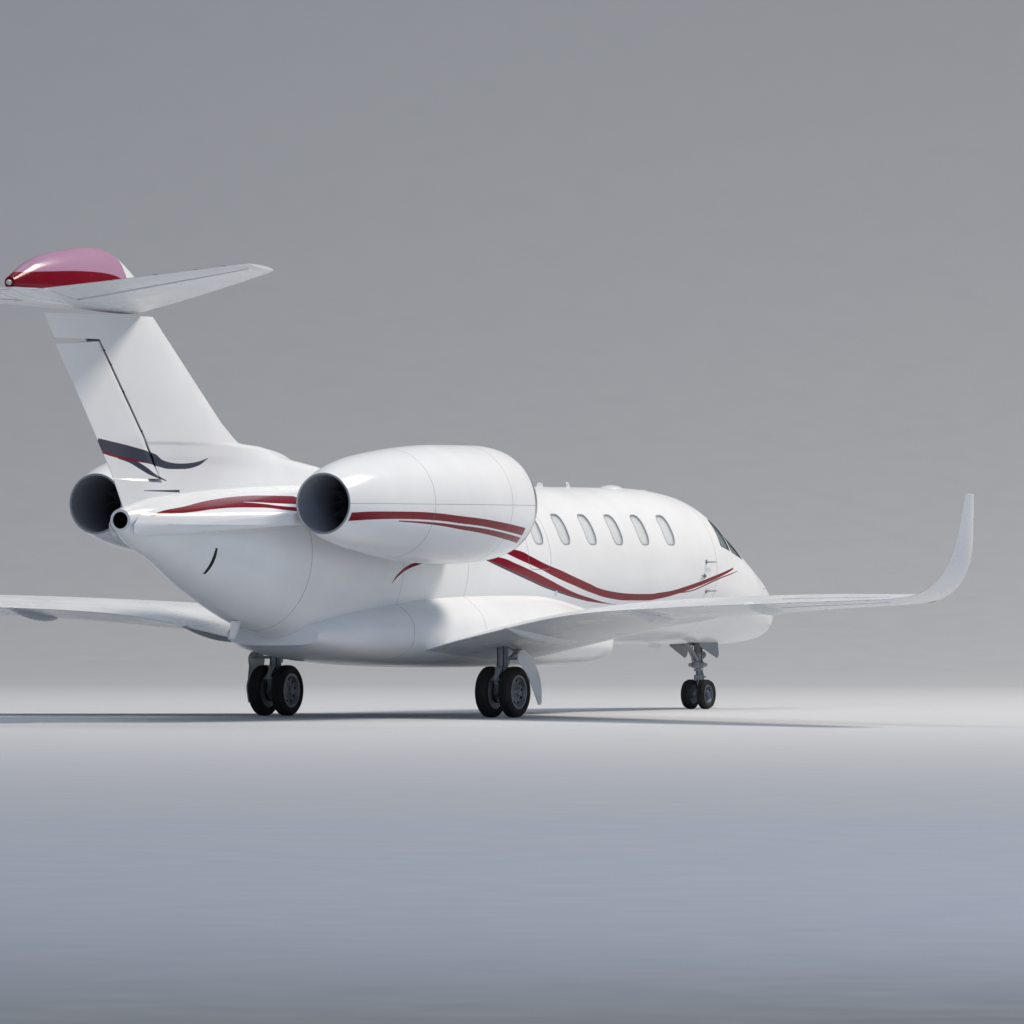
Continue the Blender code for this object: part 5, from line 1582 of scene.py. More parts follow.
@dataclass
class MainGear:
    """One main leg with its shock strut, torque links, brakes and door."""

    side: int
    name: str
    butt: float = 1.665
    station: float = 10.96
    # Height, front and rear of the door's curved outline, distances from the leg
    door_reach: Track = Track(((0.165, -0.17, -0.11), (0.22, -0.2, -0.08), (0.31, -0.23, -0.03), (0.376, -0.25, 0),
        (0.43, -0.26, 0.005), (0.5, -0.28, 0.02), (0.62, -0.29, 0.08), (0.656, -0.29, 0.11), (0.72, -0.27, 0.165),
        (0.766, -0.24, 0.18), (0.82, -0.17, 0.14), (0.86, -0.11, 0.06), (0.875, -0.08, 0.03)))
    # Height and distance outboard of the leg
    door_line: Track = Track(((0.165, 0.468), (0.27, 0.458), (0.405, 0.436), (0.56, 0.385), (0.66, 0.345),
        (0.72, 0.325), (0.79, 0.31), (0.875, 0.288)))

    @property
    def foot(self) -> Vector:
        """The axle's middle."""
        return Vector((self.side * self.butt, along(self.station), MAIN_WHEELS.radius))

    def leg(self) -> None:
        """The cylinder, the sliding piston, the axle's fitting, the links and the drag strut."""
        x, y, axle = self.foot
        cylinder = [(0.585, 0), (0.585, 0.06), (0.59, 0.066), (0.6, 0.08), (0.632, 0.08), (0.64, 0.075),
            (0.8, 0.074), (0.81, 0.08), (0.85, 0.08), (0.86, 0.074), (1.02, 0.074), (1.02, 0)]
        mould = Mould().turn(cylinder, (x, y, 0), (0, 0, 1), 48)
        for way in (1, -1):  # lugs of the upper link and of the drag strut
            mould.box((x + way * 0.03 - 0.012, y + 0.05, 0.615), (x + way * 0.03 + 0.012, y + 0.115, 0.665), 0.008)
            mould.box((x + way * 0.034 - 0.01, y - 0.125, 0.69), (x + way * 0.034 + 0.01, y - 0.05, 0.75), 0.008)
        mould.box((x - 0.05, y + 0.03, 0.3), (x + 0.05, y + 0.095, 0.37), 0.012)
        mould.beam((x, y + 0.095, 0.64), (x, y + 0.205, 0.49), 0.052, 0.018, 0.02)
        mould.beam((x, y + 0.205, 0.488), (x, y + 0.08, 0.335), 0.018, 0.05, 0.02)
        mould.rod((x, y - 0.09, 0.72), (x, y - 0.42, 0.845), 0.028, 0.024)
        mould.rod((x, y - 0.33, 0.811), (x, y - 0.6, 0.93), 0.034)
        reach = sorted((0, self.side * 0.306))
        mould.box((x + reach[0], y - 0.03, 0.74), (x + reach[1], y + 0.03, 0.78), 0.008)
        mould.rod((x + self.side * 0.04, y, 0.92), (x + self.side * 0.3, y - 0.02, 0.8), 0.014, sides=12)
        mould.dress(0)
        mould.turn([(0.33, 0), (0.33, 0.05), (0.6, 0.05), (0.6, 0)], (x, y, 0), (0, 0, 1), 48).dress(1)
        mould.rod((x - 0.089, y, axle), (x + 0.089, y, axle), 0.06, sides=40)
        mould.turn([(0.315, 0), (0.315, 0.066), (0.4, 0.066), (0.425, 0.054), (0.43, 0)], (x, y, 0), (0, 0, 1),
            40).dress(0)
        for place in ((0.205, 0.489), (0.103, 0.64), (0.072, 0.335)):
            mould.rod((x - 0.062, y + place[0], place[1]), (x + 0.062, y + place[0], place[1]), 0.011, sides=12)
        mould.rod((x - 0.15, y, axle), (x + 0.15, y, axle), 0.028, sides=32).dress(2)
        leg = mould.object(f"main_gear_leg_{self.name}_strut", [GEAR_ENAMEL_AND_DOOR_SHADE, CHROME, STEEL])
        publish(leg, [f"main_gear_leg_{self.name}"])

    def brakes(self) -> None:
        """The brake units between the leg and the wheels, with their hoses."""
        x, y, axle = self.foot
        plates, discs, hoses = Mould(), Mould(), Mould()
        for way in (1, -1):
            plate = [(0.05, 0.062), (0.05, 0.118), (0.056, 0.126), (0.066, 0.126), (0.07, 0.12), (0.07, 0.062)]
            plates.turn(plate, self.foot, (way, 0, 0), 48, closed=True)
            for turn in turns(7):
                spot = self.foot + Vector((0, sin(turn), cos(turn))) * 0.094
                plates.rod(spot + Vector((way * 0.036, 0, 0)), spot + Vector((way * 0.066, 0, 0)), 0.021, sides=20)
                plates.rod(spot + Vector((way * 0.03, 0, 0)), spot + Vector((way * 0.037, 0, 0)), 0.012, sides=6)
            for start in (0.0705, 0.0775):
                discs.turn([(start, 0.07), (start, 0.14), (start + 0.0055, 0.14), (start + 0.0055, 0.07)],
                    self.foot, (way, 0, 0), 60, closed=True)
            start = Vector((x + way * 0.045, y + 0.072, axle + 0.075))
            path = [start, start + Vector((-way * 0.012, 0.05, 0.06)), Vector((x + way * 0.04, y + 0.13, 0.5)),
                Vector((x + way * 0.052, y + 0.105, 0.6)), Vector((x + way * 0.045, y + 0.068, 0.7)),
                Vector((x + way * 0.045, y + 0.066, 0.98))]
            hoses.pipe(eased_path(path, 8), 0.0065)
        publish(plates.object(f"brake_housings_{self.name}", [MACHINED]))
        publish(discs.object(f"brake_discs_{self.name}", [CARBON]))
        publish(hoses.object(f"brake_hoses_{self.name}", [HOSE]))

    def door(self) -> None:
        """The curved door that hangs outboard of the leg."""
        x, y, _ = self.foot
        rings = []
        for share in eased(16):
            ring = []
            for inset, order in ((0, 1), (0.02, -1)):
                for height in spread(0.167, 0.873, 0.026)[::order]:
                    _, front, rear = self.door_reach.at(height)
                    edge = 0.006 * (1 - min(1.0, 12 * share, 12 * (1 - share)))
                    out = self.door_line.at(height)[1] - (inset - edge if inset else edge)
                    bow = 0.016 * (1 - (2 * share - 1) ** 2)
                    ring.append(Vector((x + self.side * (out + bow), y + front + (rear - front) * share, height)))
            rings.append(ring)
        publish(Mould().skin(rings).object(f"main_gear_door_{self.name}_panel", [DOOR_PAINT]),
            [f"main_gear_door_{self.name}"])

    def build(self) -> None:
        """Builds the leg, its brakes, door and wheels."""
        self.leg()
        self.brakes()
        self.door()
        MAIN_WHEELS.build(f"main_{self.name}", f"main_wheels_{self.name}", self.side * self.butt, self.station)


@dataclass
class NoseGear:
    """The nose leg, its steered fork and its doors."""

    station: float = 1.91
    door_front: float = -0.14
    door_rear: float = 0.42

    def leg(self) -> None:
        """The fixed cylinder with the steering unit, the drag strut and the taxi lamp."""
        y = along(self.station)
        outline = [(0.561, 0), (0.561, 0.078), (0.566, 0.084), (0.64, 0.084), (0.648, 0.078), (0.652, 0.064),
            (0.74, 0.062), (0.75, 0.068), (0.78, 0.068), (0.79, 0.062), (0.954, 0.062), (0.954, 0)]
        mould = Mould().turn(outline, (0, y, 0), (0, 0, 1), 48)
        for way in (1, -1):  # steering motors on each side, and the trunnion
            mould.rod((way * 0.088, y - 0.05, 0.605), (way * 0.088, y + 0.075, 0.605), 0.028, sides=24)
            mould.rod((0, y, 0.9), (way * 0.205, y, 0.9), 0.03, sides=24)
            mould.box((way * 0.026 - 0.009, y + 0.045, 0.66), (way * 0.026 + 0.009, y + 0.115, 0.72), 0.007)
            mould.rod((way * 0.03, y + 0.1, 0.69), (way * 0.012, y + 0.36, 0.905), 0.019, sides=16)
        mould.rod((0, y + 0.06, 0.7), (0, y + 0.42, 0.935), 0.03, 0.024)
        mould.rod((0, y - 0.06, 0.74), (0, y - 0.115, 0.74), 0.02, sides=16)
        mould.turn([(-0.045, 0), (-0.045, 0.03), (-0.03, 0.05), (0, 0.055), (0, 0.048), (-0.02, 0.04), (-0.02, 0)],
            (0, y - 0.13, 0.74), (0, -1, 0), 40).dress(0)
        mould.turn([(-0.0195, 0), (-0.0195, 0.0395), (-0.006, 0.05), (0.004, 0.03), (0.006, 0)],
            (0, y - 0.13, 0.74), (0, -1, 0), 40).dress(1)
        for way in (1, -1):
            path = [Vector((way * 0.05, y + 0.03, 0.56 + 0.36 * share))
                + Vector((way * 0.03, 0.02, 0)) * sin(pi * share) for share in spread(0, 1.0, 0.1)]
            mould.pipe(path, 0.006)
        mould.dress(2)
        publish(mould.object("nose_gear_leg_cylinder", [GEAR_ENAMEL_AND_DOOR_SHADE, LENS_CLEAR, HOSE]), ["nose_gear_leg"])

    def fork(self) -> None:
        """The steered piston, its torque links, the axle's fitting and the tow lug."""
        y, axle = along(self.station), NOSE_WHEELS.radius
        reach = NOSE_WHEELS.twin - NOSE_WHEELS.half * 0.86 - 0.006
        mould = Mould().turn([(0.2, 0), (0.2, 0.036), (0.5597, 0.036), (0.5597, 0)], (0, y, 0), (0, 0, 1),
            40).dress(0)
        mould.rod((-reach, y, axle), (reach, y, axle), 0.052, sides=40)
        mould.turn([(0.195, 0), (0.195, 0.05), (0.245, 0.05), (0.275, 0.041), (0.28, 0)], (0, y, 0), (0, 0, 1), 40)
        mould.turn([(0.52, 0), (0.52, 0.052), (0.528, 0.06), (0.548, 0.06), (0.5535, 0.054), (0.5535, 0)],
            (0, y, 0), (0, 0, 1), 40)
        mould.beam((0, y - 0.045, 0.536), (0, y - 0.15, 0.44), 0.04, 0.015, 0.014)
        mould.beam((0, y - 0.15, 0.438), (0, y - 0.04, 0.27), 0.015, 0.038, 0.014)
        mould.box((-0.03, y - 0.1, 0.415), (-0.018, y + 0.03, 0.455), 0.003)
        mould.box((0.018, y - 0.1, 0.415), (0.03, y + 0.03, 0.455), 0.003)
        mould.box((-0.05, y - 0.035, 0.4), (0.05, y + 0.04, 0.47), 0.01).dress(1)
        for place in ((-0.15, 0.439), (-0.055, 0.536), (-0.045, 0.27), (-0.085, 0.435)):
            mould.rod((-0.044, y + place[0], place[1]), (0.044, y + place[0], place[1]), 0.008, sides=12)
        mould.rod((-0.1, y, axle), (0.1, y, axle), 0.028, sides=32).dress(2)
        finishes = [CHROME, GEAR_ENAMEL_AND_DOOR_SHADE, STEEL]
        publish(mould.object("nose_gear_fork_piston", finishes), ["nose_gear_fork"], "nose_fork")

    def doors(self) -> None:
        """The two doors, whose lower edges slant up towards the rear. Both faces take the grey gear enamel, a
        painted shade in place of white door paint.
        """
        y = along(self.station)
        for side, name in SIDES:
            rings = []
            for share in spread(0, 1.0, 0.04):
                far = self.door_front + (self.door_rear - self.door_front) * share
                low = 0.7 + 0.19 * max(0, share - 0.12) + 0.05 * max(0, 1 - share / 0.12) ** 2
                ring = []
                for inset, order in ((0, -1), (0.012, 1)):
                    for height in spread(low, 0.945, (0.945 - low) / 5.5)[::order]:
                        out = 0.224 + 0.13 * (0.945 - height) - 0.09 * (0.945 - height) ** 2
                        ring.append(Vector((side * (out - inset), y + far, height)))
                rings.append(ring)
            # Grey gear enamel on the doors is painted shade; the main gear doors are white
            publish(Mould().skin(rings).object(f"nose_gear_door_{name}_panel", [GEAR_ENAMEL_AND_DOOR_SHADE]),
                [f"nose_gear_door_{name}"])

    def build(self) -> None:
        """Builds the leg, the fork, the doors and the wheels."""
        self.leg()
        self.fork()
        self.doors()
        NOSE_WHEELS.build("nose", "nose_wheels", 0, self.station)


# ------------------------------------------------------------------------------------ the door and inside


def wall_unit(mould: Mould, side: int, inner: float, stations: Point, heights: Point,
    margin: float = 0.092) -> Mould:
    """Adds a cabinet, ledge or screen whose outboard side follows the cabin's wall.

    Args:
        mould: What it is added to.
        side: 1 for port, -1 for starboard.
        inner: Butt line of its inboard side.
        stations: Its front and rear.
        heights: Its bottom and top.
        margin: Distance from the outer skin.

    Returns:
        The mould.
    """
    rings = []
    for height in spread(*heights, 0.08):
        front, rear = (side * max(inner + 0.005, skin_butt(station, height, -margin)) for station in stations)
        rings.append([Vector((side * inner, along(stations[0]), height)), Vector((side * inner, along(stations[1]),
            height)), Vector((rear, along(stations[1]), height)), Vector((front, along(stations[0]), height))])
    return mould.skin(rings)


def cushion(name: str, low: Sequence[float], high: Sequence[float], thick: int, crown: float, channels: int = 3,
    lean: float = 0.0) -> Piece:
    """A padded leather cushion: crowned, with its sides pulled in between the corners and sewn channels.

    Args:
        name: The object's name.
        low: Its lowest corner.
        high: Its highest corner.
        thick: The axis of its thickness, 1 for Y and 2 for Z.
        crown: How far its faces swell.
        channels: Sewn channels across it.
        lean: How far its top leans back, per metre of height.

    Returns:
        The object.
    """
    mould = Mould()
    made = bmesh.ops.create_cube(mould.mesh, size=2.0)["verts"]
    bmesh.ops.subdivide_edges(mould.mesh, edges=mould.mesh.edges[:], cuts=17, use_grid_fill=True)
    middle, size = (Vector(high) + Vector(low)) / 2, (Vector(high) - Vector(low)) / 2
    across, length = 0, 3 - thick
    for corner in mould.mesh.verts:
        place = corner.co.copy()
        place /= sum(abs(value) ** 4.5 for value in place) ** (1 / 4.5)
        edge = 1 - 0.05 * (1 - place[across] ** 2) * abs(place[length]) ** 3
        waist = 1 - 0.04 * (1 - place[length] ** 2) * abs(place[across]) ** 3
        swell = crown * max(0, 1 - place[across] ** 2) * max(0, 1 - place[length] ** 2)
        sewn = sum(exp(-((place[length] - spot) * size[length] / 0.009) ** 2)
            for spot in (2 * (step + 1) / (channels + 1) - 1 for step in range(channels)))
        moved = Vector((0, 0, 0))
        moved[across] = place[across] * size[across] * waist
        moved[length] = place[length] * size[length] * edge
        moved[thick] = place[thick] * size[thick] + copysign(swell - 0.008 * sewn * (1 - place[across] ** 4),
            place[thick])
        moved.y += lean * (moved.z + size.z)
        corner.co = middle + moved
    return mould.object(name, [LEATHER], sharp=70.0)


@dataclass
class Seat:
    """A club seat: a veneered foot, a leather shell with arms, and two padded cushions."""

    label: str
    side: int
    station: float
    facing: int
    body: str = AIRFRAME

    def build(self, frame: Mould) -> None:
        """Adds the frame to a mould and publishes the cushions."""
        y, rear = along(self.station), -self.facing
        inner, outer = sorted((self.side * 0.2, self.side * 0.66))
        foot = sorted((self.side * 0.22, self.side * 0.37))
        frame.box((foot[0], y - 0.15, 1.125), (foot[1], y + 0.15, 1.2), 0.012)
        frame.box((foot[0] + 0.02, y - 0.12, 1.19), (foot[1] - 0.02, y + 0.12, 1.42), 0.02).dress(1)
        frame.box((inner + 0.01, y - 0.23, 1.37), (outer - 0.01, y + 0.2 * rear + 0.03, 1.43) if rear > 0
            else (outer - 0.01, y + 0.23, 1.43), 0.02)
        back = sorted((y + rear * 0.19, y + rear * 0.245))
        frame.box((inner + 0.015, back[0], 1.4), (outer - 0.015, back[1], 2.14), 0.025)
        for butt in (inner, outer - 0.055):
            frame.box((butt, y - 0.2, 1.42), (butt + 0.055, y + 0.2, 1.7), 0.024)
        frame.dress(0)
        seat = cushion(f"seat_cushion_{self.label}", (inner + 0.06, y - 0.235, 1.435),
            (outer - 0.06, y + 0.235, 1.575), 2, 0.022)
        faces = sorted((y + rear * 0.075, y + rear * 0.195))
        rest = cushion(f"back_cushion_{self.label}", (inner + 0.058, faces[0], 1.575),
            (outer - 0.058, faces[1], 2.18), 1, 0.022, 5)
        for piece, fill in ((seat, 0.75), (rest, 0.7)):
            publish(piece, body=self.body)


@dataclass
class EntryDoor:
    """The airstair door: its skin, lining, steps and handrails."""

    stations: Point = (3.44, 4.2)
    treads: tuple[float, ...] = (1.42, 1.7, 1.98, 2.26)
    wall: float = 0.08
    hinge: tuple[Point, Point] = ((0.6353, 3.42), (0.6253, 4.22))
    hinge_height: float = 1.157
    groove: float = 0.019
    slope: Point = (0.342, -0.94)  # a step's run with the door shut, level once it is open

    def steps(self, mould: Mould, depth: float, thick: float, start: float, run: float) -> Mould:
        """Adds the folded plate of each step, from its riser's root down its run."""
        front, rear = along(self.stations[0]) + 0.09, along(self.stations[1]) - 0.09
        for height in self.treads:
            skin = skin_butt(3.8, height)
            edge = Vector((skin - depth, height + 0.04))
            way = Vector(self.slope)
            outline = [Vector((skin - start, height + 0.04)), edge, edge + way * run, edge + way * run
                + Vector((thick, 0.3 * thick)), edge + Vector((thick * 1.3, -thick)),
                Vector((skin - start, height + 0.04 - thick))]
            mould.prism([tuple(point) for point in outline], "Y", front, rear)
        return mould

    def build(self, fuselage: Fuselage) -> None:
        """Builds the door and what rides on it. A groove along its hinge lets the lower edge clear the sill."""
        shell = body_strip(3.36, 4.28, 0, -self.wall)
        shell.dress(0)
        shell.dress(1, lambda face: face.calc_center_median().x < skin_butt(face.calc_center_median().y
            + LENGTH / 2, face.calc_center_median().z, -0.03))
        finishes = [FUSELAGE_PAINT, LINING]
        door = carve(shell.object("entry_door_shell", finishes),
            fuselage.door_prism().object("door_outline", finishes[1:]), "INTERSECT")
        ends = [(butt, along(station), self.hinge_height) for butt, station in self.hinge]
        groove = Mould().rod(*ends, self.groove, sides=32)
        carve(door, groove.object("hinge_groove", finishes[1:]))
        publish(door, ["entry_door"], "entry_door")
        steps = self.steps(Mould(), 0.27, 0.012, 0.07, 0.25).dress(0)
        front, rear = along(self.stations[0]) + 0.09, along(self.stations[1]) - 0.09
        for height in self.treads:
            skin = skin_butt(3.8, height)
            for share in spread(0.03, 0.23, 0.04):
                x, z = skin - 0.2735 + self.slope[0] * share, height + 0.04 + self.slope[1] * share
                steps.rod((x, front + 0.02, z), (x, rear - 0.02, z), 0.0045, sides=6)
        steps.dress(1)
        publish(steps.object("airstair_steps", [MACHINED, GLARE]), body="entry_door")
        rails = Mould()
        for y in (front - 0.035, rear + 0.035):
            path = []
            for share in spread(0, 1.0, 0.05):
                height = 1.36 + 1.06 * share
                reach = 0.075 + 0.12 * sin(pi * share) ** 0.4
                path.append(Vector((skin_butt(3.8, height) - reach, y, height)))
            rails.pipe(path, 0.011, 12)
        publish(rails.object("airstair_handrails", [CHROME]), body="entry_door")
        handle = Mould()
        for station in (3.55, 3.75):
            handle.rod((skin_butt(station, 1.9) - 0.012, along(station), 1.9), (skin_butt(station, 1.9) + 0.004,
                along(station), 1.9), 0.02, sides=24)
        handle.rod((skin_butt(3.55, 1.9) + 0.002, along(3.55), 1.9), (skin_butt(3.75, 1.9) + 0.002, along(3.75),
            1.9), 0.01, sides=12)
        publish(handle.object("entry_door_handle", [MACHINED]), body="entry_door")


@dataclass
class Cabin:
    """The carpet, the seats, ledges, tables and cabinets."""

    floor_top: float = 1.13
    seats: tuple[tuple[float, int], ...] = ((5.05, 1), (6.45, -1), (7.15, 1), (8.55, -1))
    start: float = 3.32
    end: float = 10.595

    def build(self) -> None:
        """Builds the cabin's inside."""
        floor = Mould()
        low = self.floor_top - 0.05
        floor.prism([(-0.366, low), (0.366, low), (0.455, self.floor_top), (-0.455, self.floor_top)], "Y",
            along(self.start), along(self.end)).dress(2)
        for station, facing in self.seats:
            for side, name in ((1, "port"), (-1, "starboard")):
                Seat(f"{name}_{round(station * 100)}", side, station, facing).build(floor)
        finishes = [LEATHER, VENEER, CARPET]
        publish(floor.object("cabin_carpet_and_seat_frames", finishes), ["cabin_floor_and_seats"])
        joinery = Mould()
        for side in (1, -1):
            wall_unit(joinery, side, 0.7, (4.38, 9.3), (1.6, 1.655))
            for station in (5.75, 7.85):
                wall_unit(joinery, side, 0.26, (station - 0.19, station + 0.19), (1.78, 1.8))
                joinery.box((side * 0.36 - 0.02, along(station) - 0.12, 1.13), (side * 0.36 + 0.02, along(station)
                    + 0.12, 1.785), 0.01)
            wall_unit(joinery, side, 0.27, (9.32, 9.38), (1.14, 2.86))
        wall_unit(joinery, -1, 0.34, (3.46, 4.28), (1.14, 2.7))
        wall_unit(joinery, 1, 0.34, (4.28, 4.34), (1.14, 2.8))
        wall_unit(joinery, 1, 0.4, (9.45, 10.3), (1.14, 1.9))
        joinery.dress(0)
        for height in (1.3, 1.62, 1.94, 2.26):
            joinery.rod((-0.333, along(3.8), height), (-0.333, along(3.94), height), 0.006, sides=10)
        joinery.dress(1)
        publish(joinery.object("cabin_joinery", [VENEER, CHROME]))
        lining = Mould()
        for side in (1, -1):
            wall_unit(lining, side, 0.6, (4.36, 9.32), (1.14, 1.6), 0.086)
        publish(lining.dress(0).object("cabin_lower_walls", [LINING]))


@dataclass
class Cockpit:
    """The instrument panel, the controls and the pilots' seats."""

    station: float = 1.8

    def build(self) -> None:
        """Builds the cockpit's inside."""
        frame = Mould()
        frame.prism([(-0.355, 1.08), (0.355, 1.08), (0.43, 1.13), (-0.43, 1.13)], "Y", along(1.36),
            along(3.295)).dress(2)
        for side, name in SIDES:
            Seat(f"pilot_{name}", side, 2.7, -1).build(frame)
        rear = along(self.station)
        frame.box((-0.55, along(1.62), 1.47), (0.55, rear, 1.9), 0.02)
        frame.box((-0.52, along(1.5), 1.885), (0.52, rear + 0.1, 1.925), 0.018)
        frame.box((-0.13, along(1.7), 1.1), (0.13, along(2.4), 1.5), 0.02)
        frame.box((-0.11, along(1.95), 1.49), (0.11, along(2.38), 1.55), 0.01).dress(3)
        for side in (1, -1):
            for inner in (0.05, 0.29):
                low, high = sorted((side * inner, side * (inner + 0.21)))
                frame.box((low, rear - 0.005, 1.575), (high, rear + 0.006, 1.835), 0.004)
        frame.dress(4)
        for side in (1, -1):
            for inner in (0.062, 0.302):
                low, high = sorted((side * inner, side * (inner + 0.186)))
                frame.box((low, rear + 0.004, 1.588), (high, rear + 0.0075, 1.822))
        frame.dress(5)
        for side in (1, -1):
            x, y = side * 0.43, along(2.08)
            frame.rod((x, y, 1.12), (x, y - 0.02, 1.56), 0.024, sides=20).rod((x, y - 0.02, 1.55),
                (x, y + 0.07, 1.6), 0.02, sides=16)
            horn = [Vector((x - 0.145, y + 0.075, 1.7)), Vector((x - 0.15, y + 0.08, 1.63)),
                Vector((x - 0.11, y + 0.08, 1.585)), Vector((x, y + 0.075, 1.6)),
                Vector((x + 0.11, y + 0.08, 1.585)), Vector((x + 0.15, y + 0.08, 1.63)),
                Vector((x + 0.145, y + 0.075, 1.7))]
            frame.pipe(eased_path(horn, 5), 0.014, 12)
            frame.rod((side * 0.035, along(2.1), 1.54), (side * 0.035, along(2.06), 1.64), 0.007, sides=10)
            frame.box((side * 0.035 - 0.022, along(2.06) - 0.018, 1.63), (side * 0.035 + 0.022, along(2.06) + 0.018,
                1.655), 0.008)
            frame.box((side * 0.32 - 0.05, along(1.52), 1.22), (side * 0.32 + 0.05, along(1.56), 1.33), 0.01)
            frame.box((side * 0.47 - 0.045, along(1.52), 1.22), (side * 0.47 + 0.045, along(1.56), 1.33), 0.01)
        for row in range(5):
            for column in range(4):
                x, y = -0.075 + 0.05 * column, along(2.16 + 0.045 * row)
                frame.rod((x, y, 1.548), (x, y, 1.562), 0.01, sides=12)
        frame.dress(3)
        finishes = [LEATHER, HOUSING, CARPET, HOUSING, GLARE, DISPLAY]
        publish(frame.object("cockpit_panel_and_controls", finishes), ["cockpit_seats_and_panel"])


# ------------------------------------------------------------------------------ aerials, probes and lamps


@dataclass
class Fittings:
    """What stands out of the skin: aerials, probes, lamps, vents, track fairings and static wicks."""

    # Station, height from the skin (down if negative), chord, butt line
    blades: tuple[tuple[float, float, float, float], ...] = ((5.8, 0.065, 0.1, 0), (6.58, 0.055, 0.2, 0),
        (7.55, 0.24, 0.3, 0), (11.3, 0.2, 0.3, 0), (3.52, 0.028, 0.2, 0), (3.05, -0.055, 0.46, 0),
        (4.7, -0.09, 0.34, 0), (14.95, -0.2, 0.26, 0))
    # Station and height of each probe on the starboard side
    probes: tuple[Point, ...] = ((3.69, 1.824), (3.64, 2.013), (3.55, 1.621))
    # Butt line, start as a share of the chord, reach behind the trailing edge, half width, depth
    canoes: tuple[tuple[float, ...], ...] = ((2.35, 0.5, 0.1, 0.065, 0.1), (4.5, 0.5, 0.12, 0.062, 0.1),
        (6.72, 0.46, 0.14, 0.058, 0.095))

    def aerials(self) -> None:
        """The blade aerials, and the long dome of the satellite aerial."""
        mould = Mould()
        for station, height, chord, butt in self.blades:
            _, _, top, _, bottom = FUSELAGE.at(station)
            base, way = (top, 1) if height > 0 else (bottom, -1)
            rings = []
            for share in (0, 0.02, 0.5, 0.9, 0.97, 1.0):
                size = chord * (1 - 0.42 * share - (0.25 if share == 1.0 else 0.0))
                front = station + abs(height) * 0.75 * share
                level = base + height * share - way * 0.03 * (share == 0.0)
                half = (0.016 if share < 0.95 else 0.008) * (1.8 if share == 0.0 else 1.0)
                port = [(half_thickness(place) * 2 * half, front + size * place) for place in eased(10)]
                rings.append([Vector((butt + wide, along(spot), level)) for wide, spot in port]
                    + [Vector((butt - wide, along(spot), level)) for wide, spot in port[-2:0:-1]])
            mould.skin(rings)
        dome = []
        for share in eased(20):
            station = 4.34 + 0.5 * share
            size = max(0.004, sin(pi * share) ** 0.5)
            dome.append([Vector((0.16 * size * cos(turn), along(station), FUSELAGE.at(station)[2] - 0.03
                + 0.07 * size * sin(turn))) for turn in turns(32)])
        mould.skin(dome).dress(0)
        publish(mould.object("blade_aerials", [AERIAL]))

    def air_data(self) -> None:
        """The heated probes and vanes beside the cockpit, with their mounting plates."""
        mould = Mould()
        for side, shift in ((-1, 0), (1, -0.4)):
            for index, (station, height) in enumerate(self.probes):
                station += shift
                skin = skin_butt(station, height)
                root = Vector((side * (skin - 0.006), along(station), height))
                mould.rod(root, root + Vector((side * 0.01, 0, 0)), 0.034, 0.031, sides=24)
                knee = root + Vector((side * 0.075, -0.015, 0))
                if index == 0:
                    mould.rod(root, root + Vector((side * 0.03, 0, 0)), 0.016, sides=16)
                    ends = root + Vector((side * 0.022, 0, -0.012)), root + Vector((side * 0.028, 0.1, 0.012))
                    mould.box(tuple(map(min, *ends)), tuple(map(max, *ends)), 0.002, 1)
                    continue
                mould.pipe(eased_path([root, root + Vector((side * 0.05, -0.004, 0)), knee, knee
                    + Vector((0, -0.05, 0))], 5), 0.01, 12)
                mould.rod(knee + Vector((0, -0.045, 0)), knee + Vector((0, -0.165, 0)), 0.0095, 0.005, 16)
        publish(mould.dress(0).object("air_data_probes", [MACHINED]))

    def vents(self) -> None:
        """The slanted slot on the starboard side of the tail."""
        mould = Mould()
        rings = []
        for share in spread(0, 1.0, 0.05):
            height, middle = 2.17 - 0.324 * share, 16.485 - 0.035 * share
            half = 0.026 * sin(pi * min(1.0, 0.12 + 0.76 * share)) ** 0.5
            ring = []
            for far, lift in ((-half, 0.0015), (half, 0.0015), (half, -0.02), (-half, -0.02)):
                station = middle + far
                ring.append(Vector((-skin_butt(station, height, lift), along(station), height)))
            rings.append(ring)
        mould.skin(rings).dress(0)
        publish(mould.object("tail_slot_vent", [GLARE]))

    def track_fairings(self) -> None:
        """The canoe-shaped fairings over the flaps' tracks."""
        for side, name in SIDES:
            skin = Surface(WING)
            mould = Mould()
            for butt, start, behind, half, depth in self.canoes:
                row = WING.at(butt)
                chord = row[4] - row[3]
                end = 1 + behind / chord
                rings = []
                for share in eased(28):
                    place = start + (end - start) * share
                    size = max(0.02, sin(pi * share**0.8) ** 0.55)
                    flat = min(place, 1.0)
                    level = skin.spot(butt, flat, -skin.depth(butt, flat), side)
                    middle = Vector((level.x, along(row[3] + chord * place), level.z
                        + 0.02 - 0.1 * max(0, place - 1) * chord))
                    ring = []
                    for turn in turns(28):
                        drop = depth if sin(turn) < 0 else 0.03
                        ring.append(middle + Vector((half * size * cos(turn), 0, drop * size * sin(turn))))
                    rings.append(ring)
                mould.skin(rings)
            publish(mould.dress(0).object(f"flap_track_fairings_{name}", [WING_PAINT]))

    def wicks(self) -> None:
        """The static wicks on the trailing edges, each on the body of its surface."""
        rows = [(f"aileron_{name}", WING, side, butt) for side, name in SIDES for butt in (7.5, 8.2, 8.9)]
        rows += [(f"elevator_{name}", TAILPLANE, side, butt) for side, name in SIDES
            for butt in (1.6, 2.4, 3.1, 3.6)]
        moulds: dict[str, Mould] = {}
        for body, table, side, butt in rows:
            rear = Surface(table).spot(butt, 1.0, 0, side)
            mould = moulds.setdefault(body, Mould())
            mould.rod(rear + Vector((0, -0.012, 0)), rear + Vector((0, 0.022, 0)), 0.0045, 0.003, 8)
            mould.rod(rear + Vector((0, 0.02, 0)), rear + Vector((side * 0.01, 0.135, -0.004)), 0.0024, 0.0016, 6)
        for body, mould in moulds.items():
            publish(mould.dress(0).object(f"static_wicks_{body}", [CARBON]), body=body)

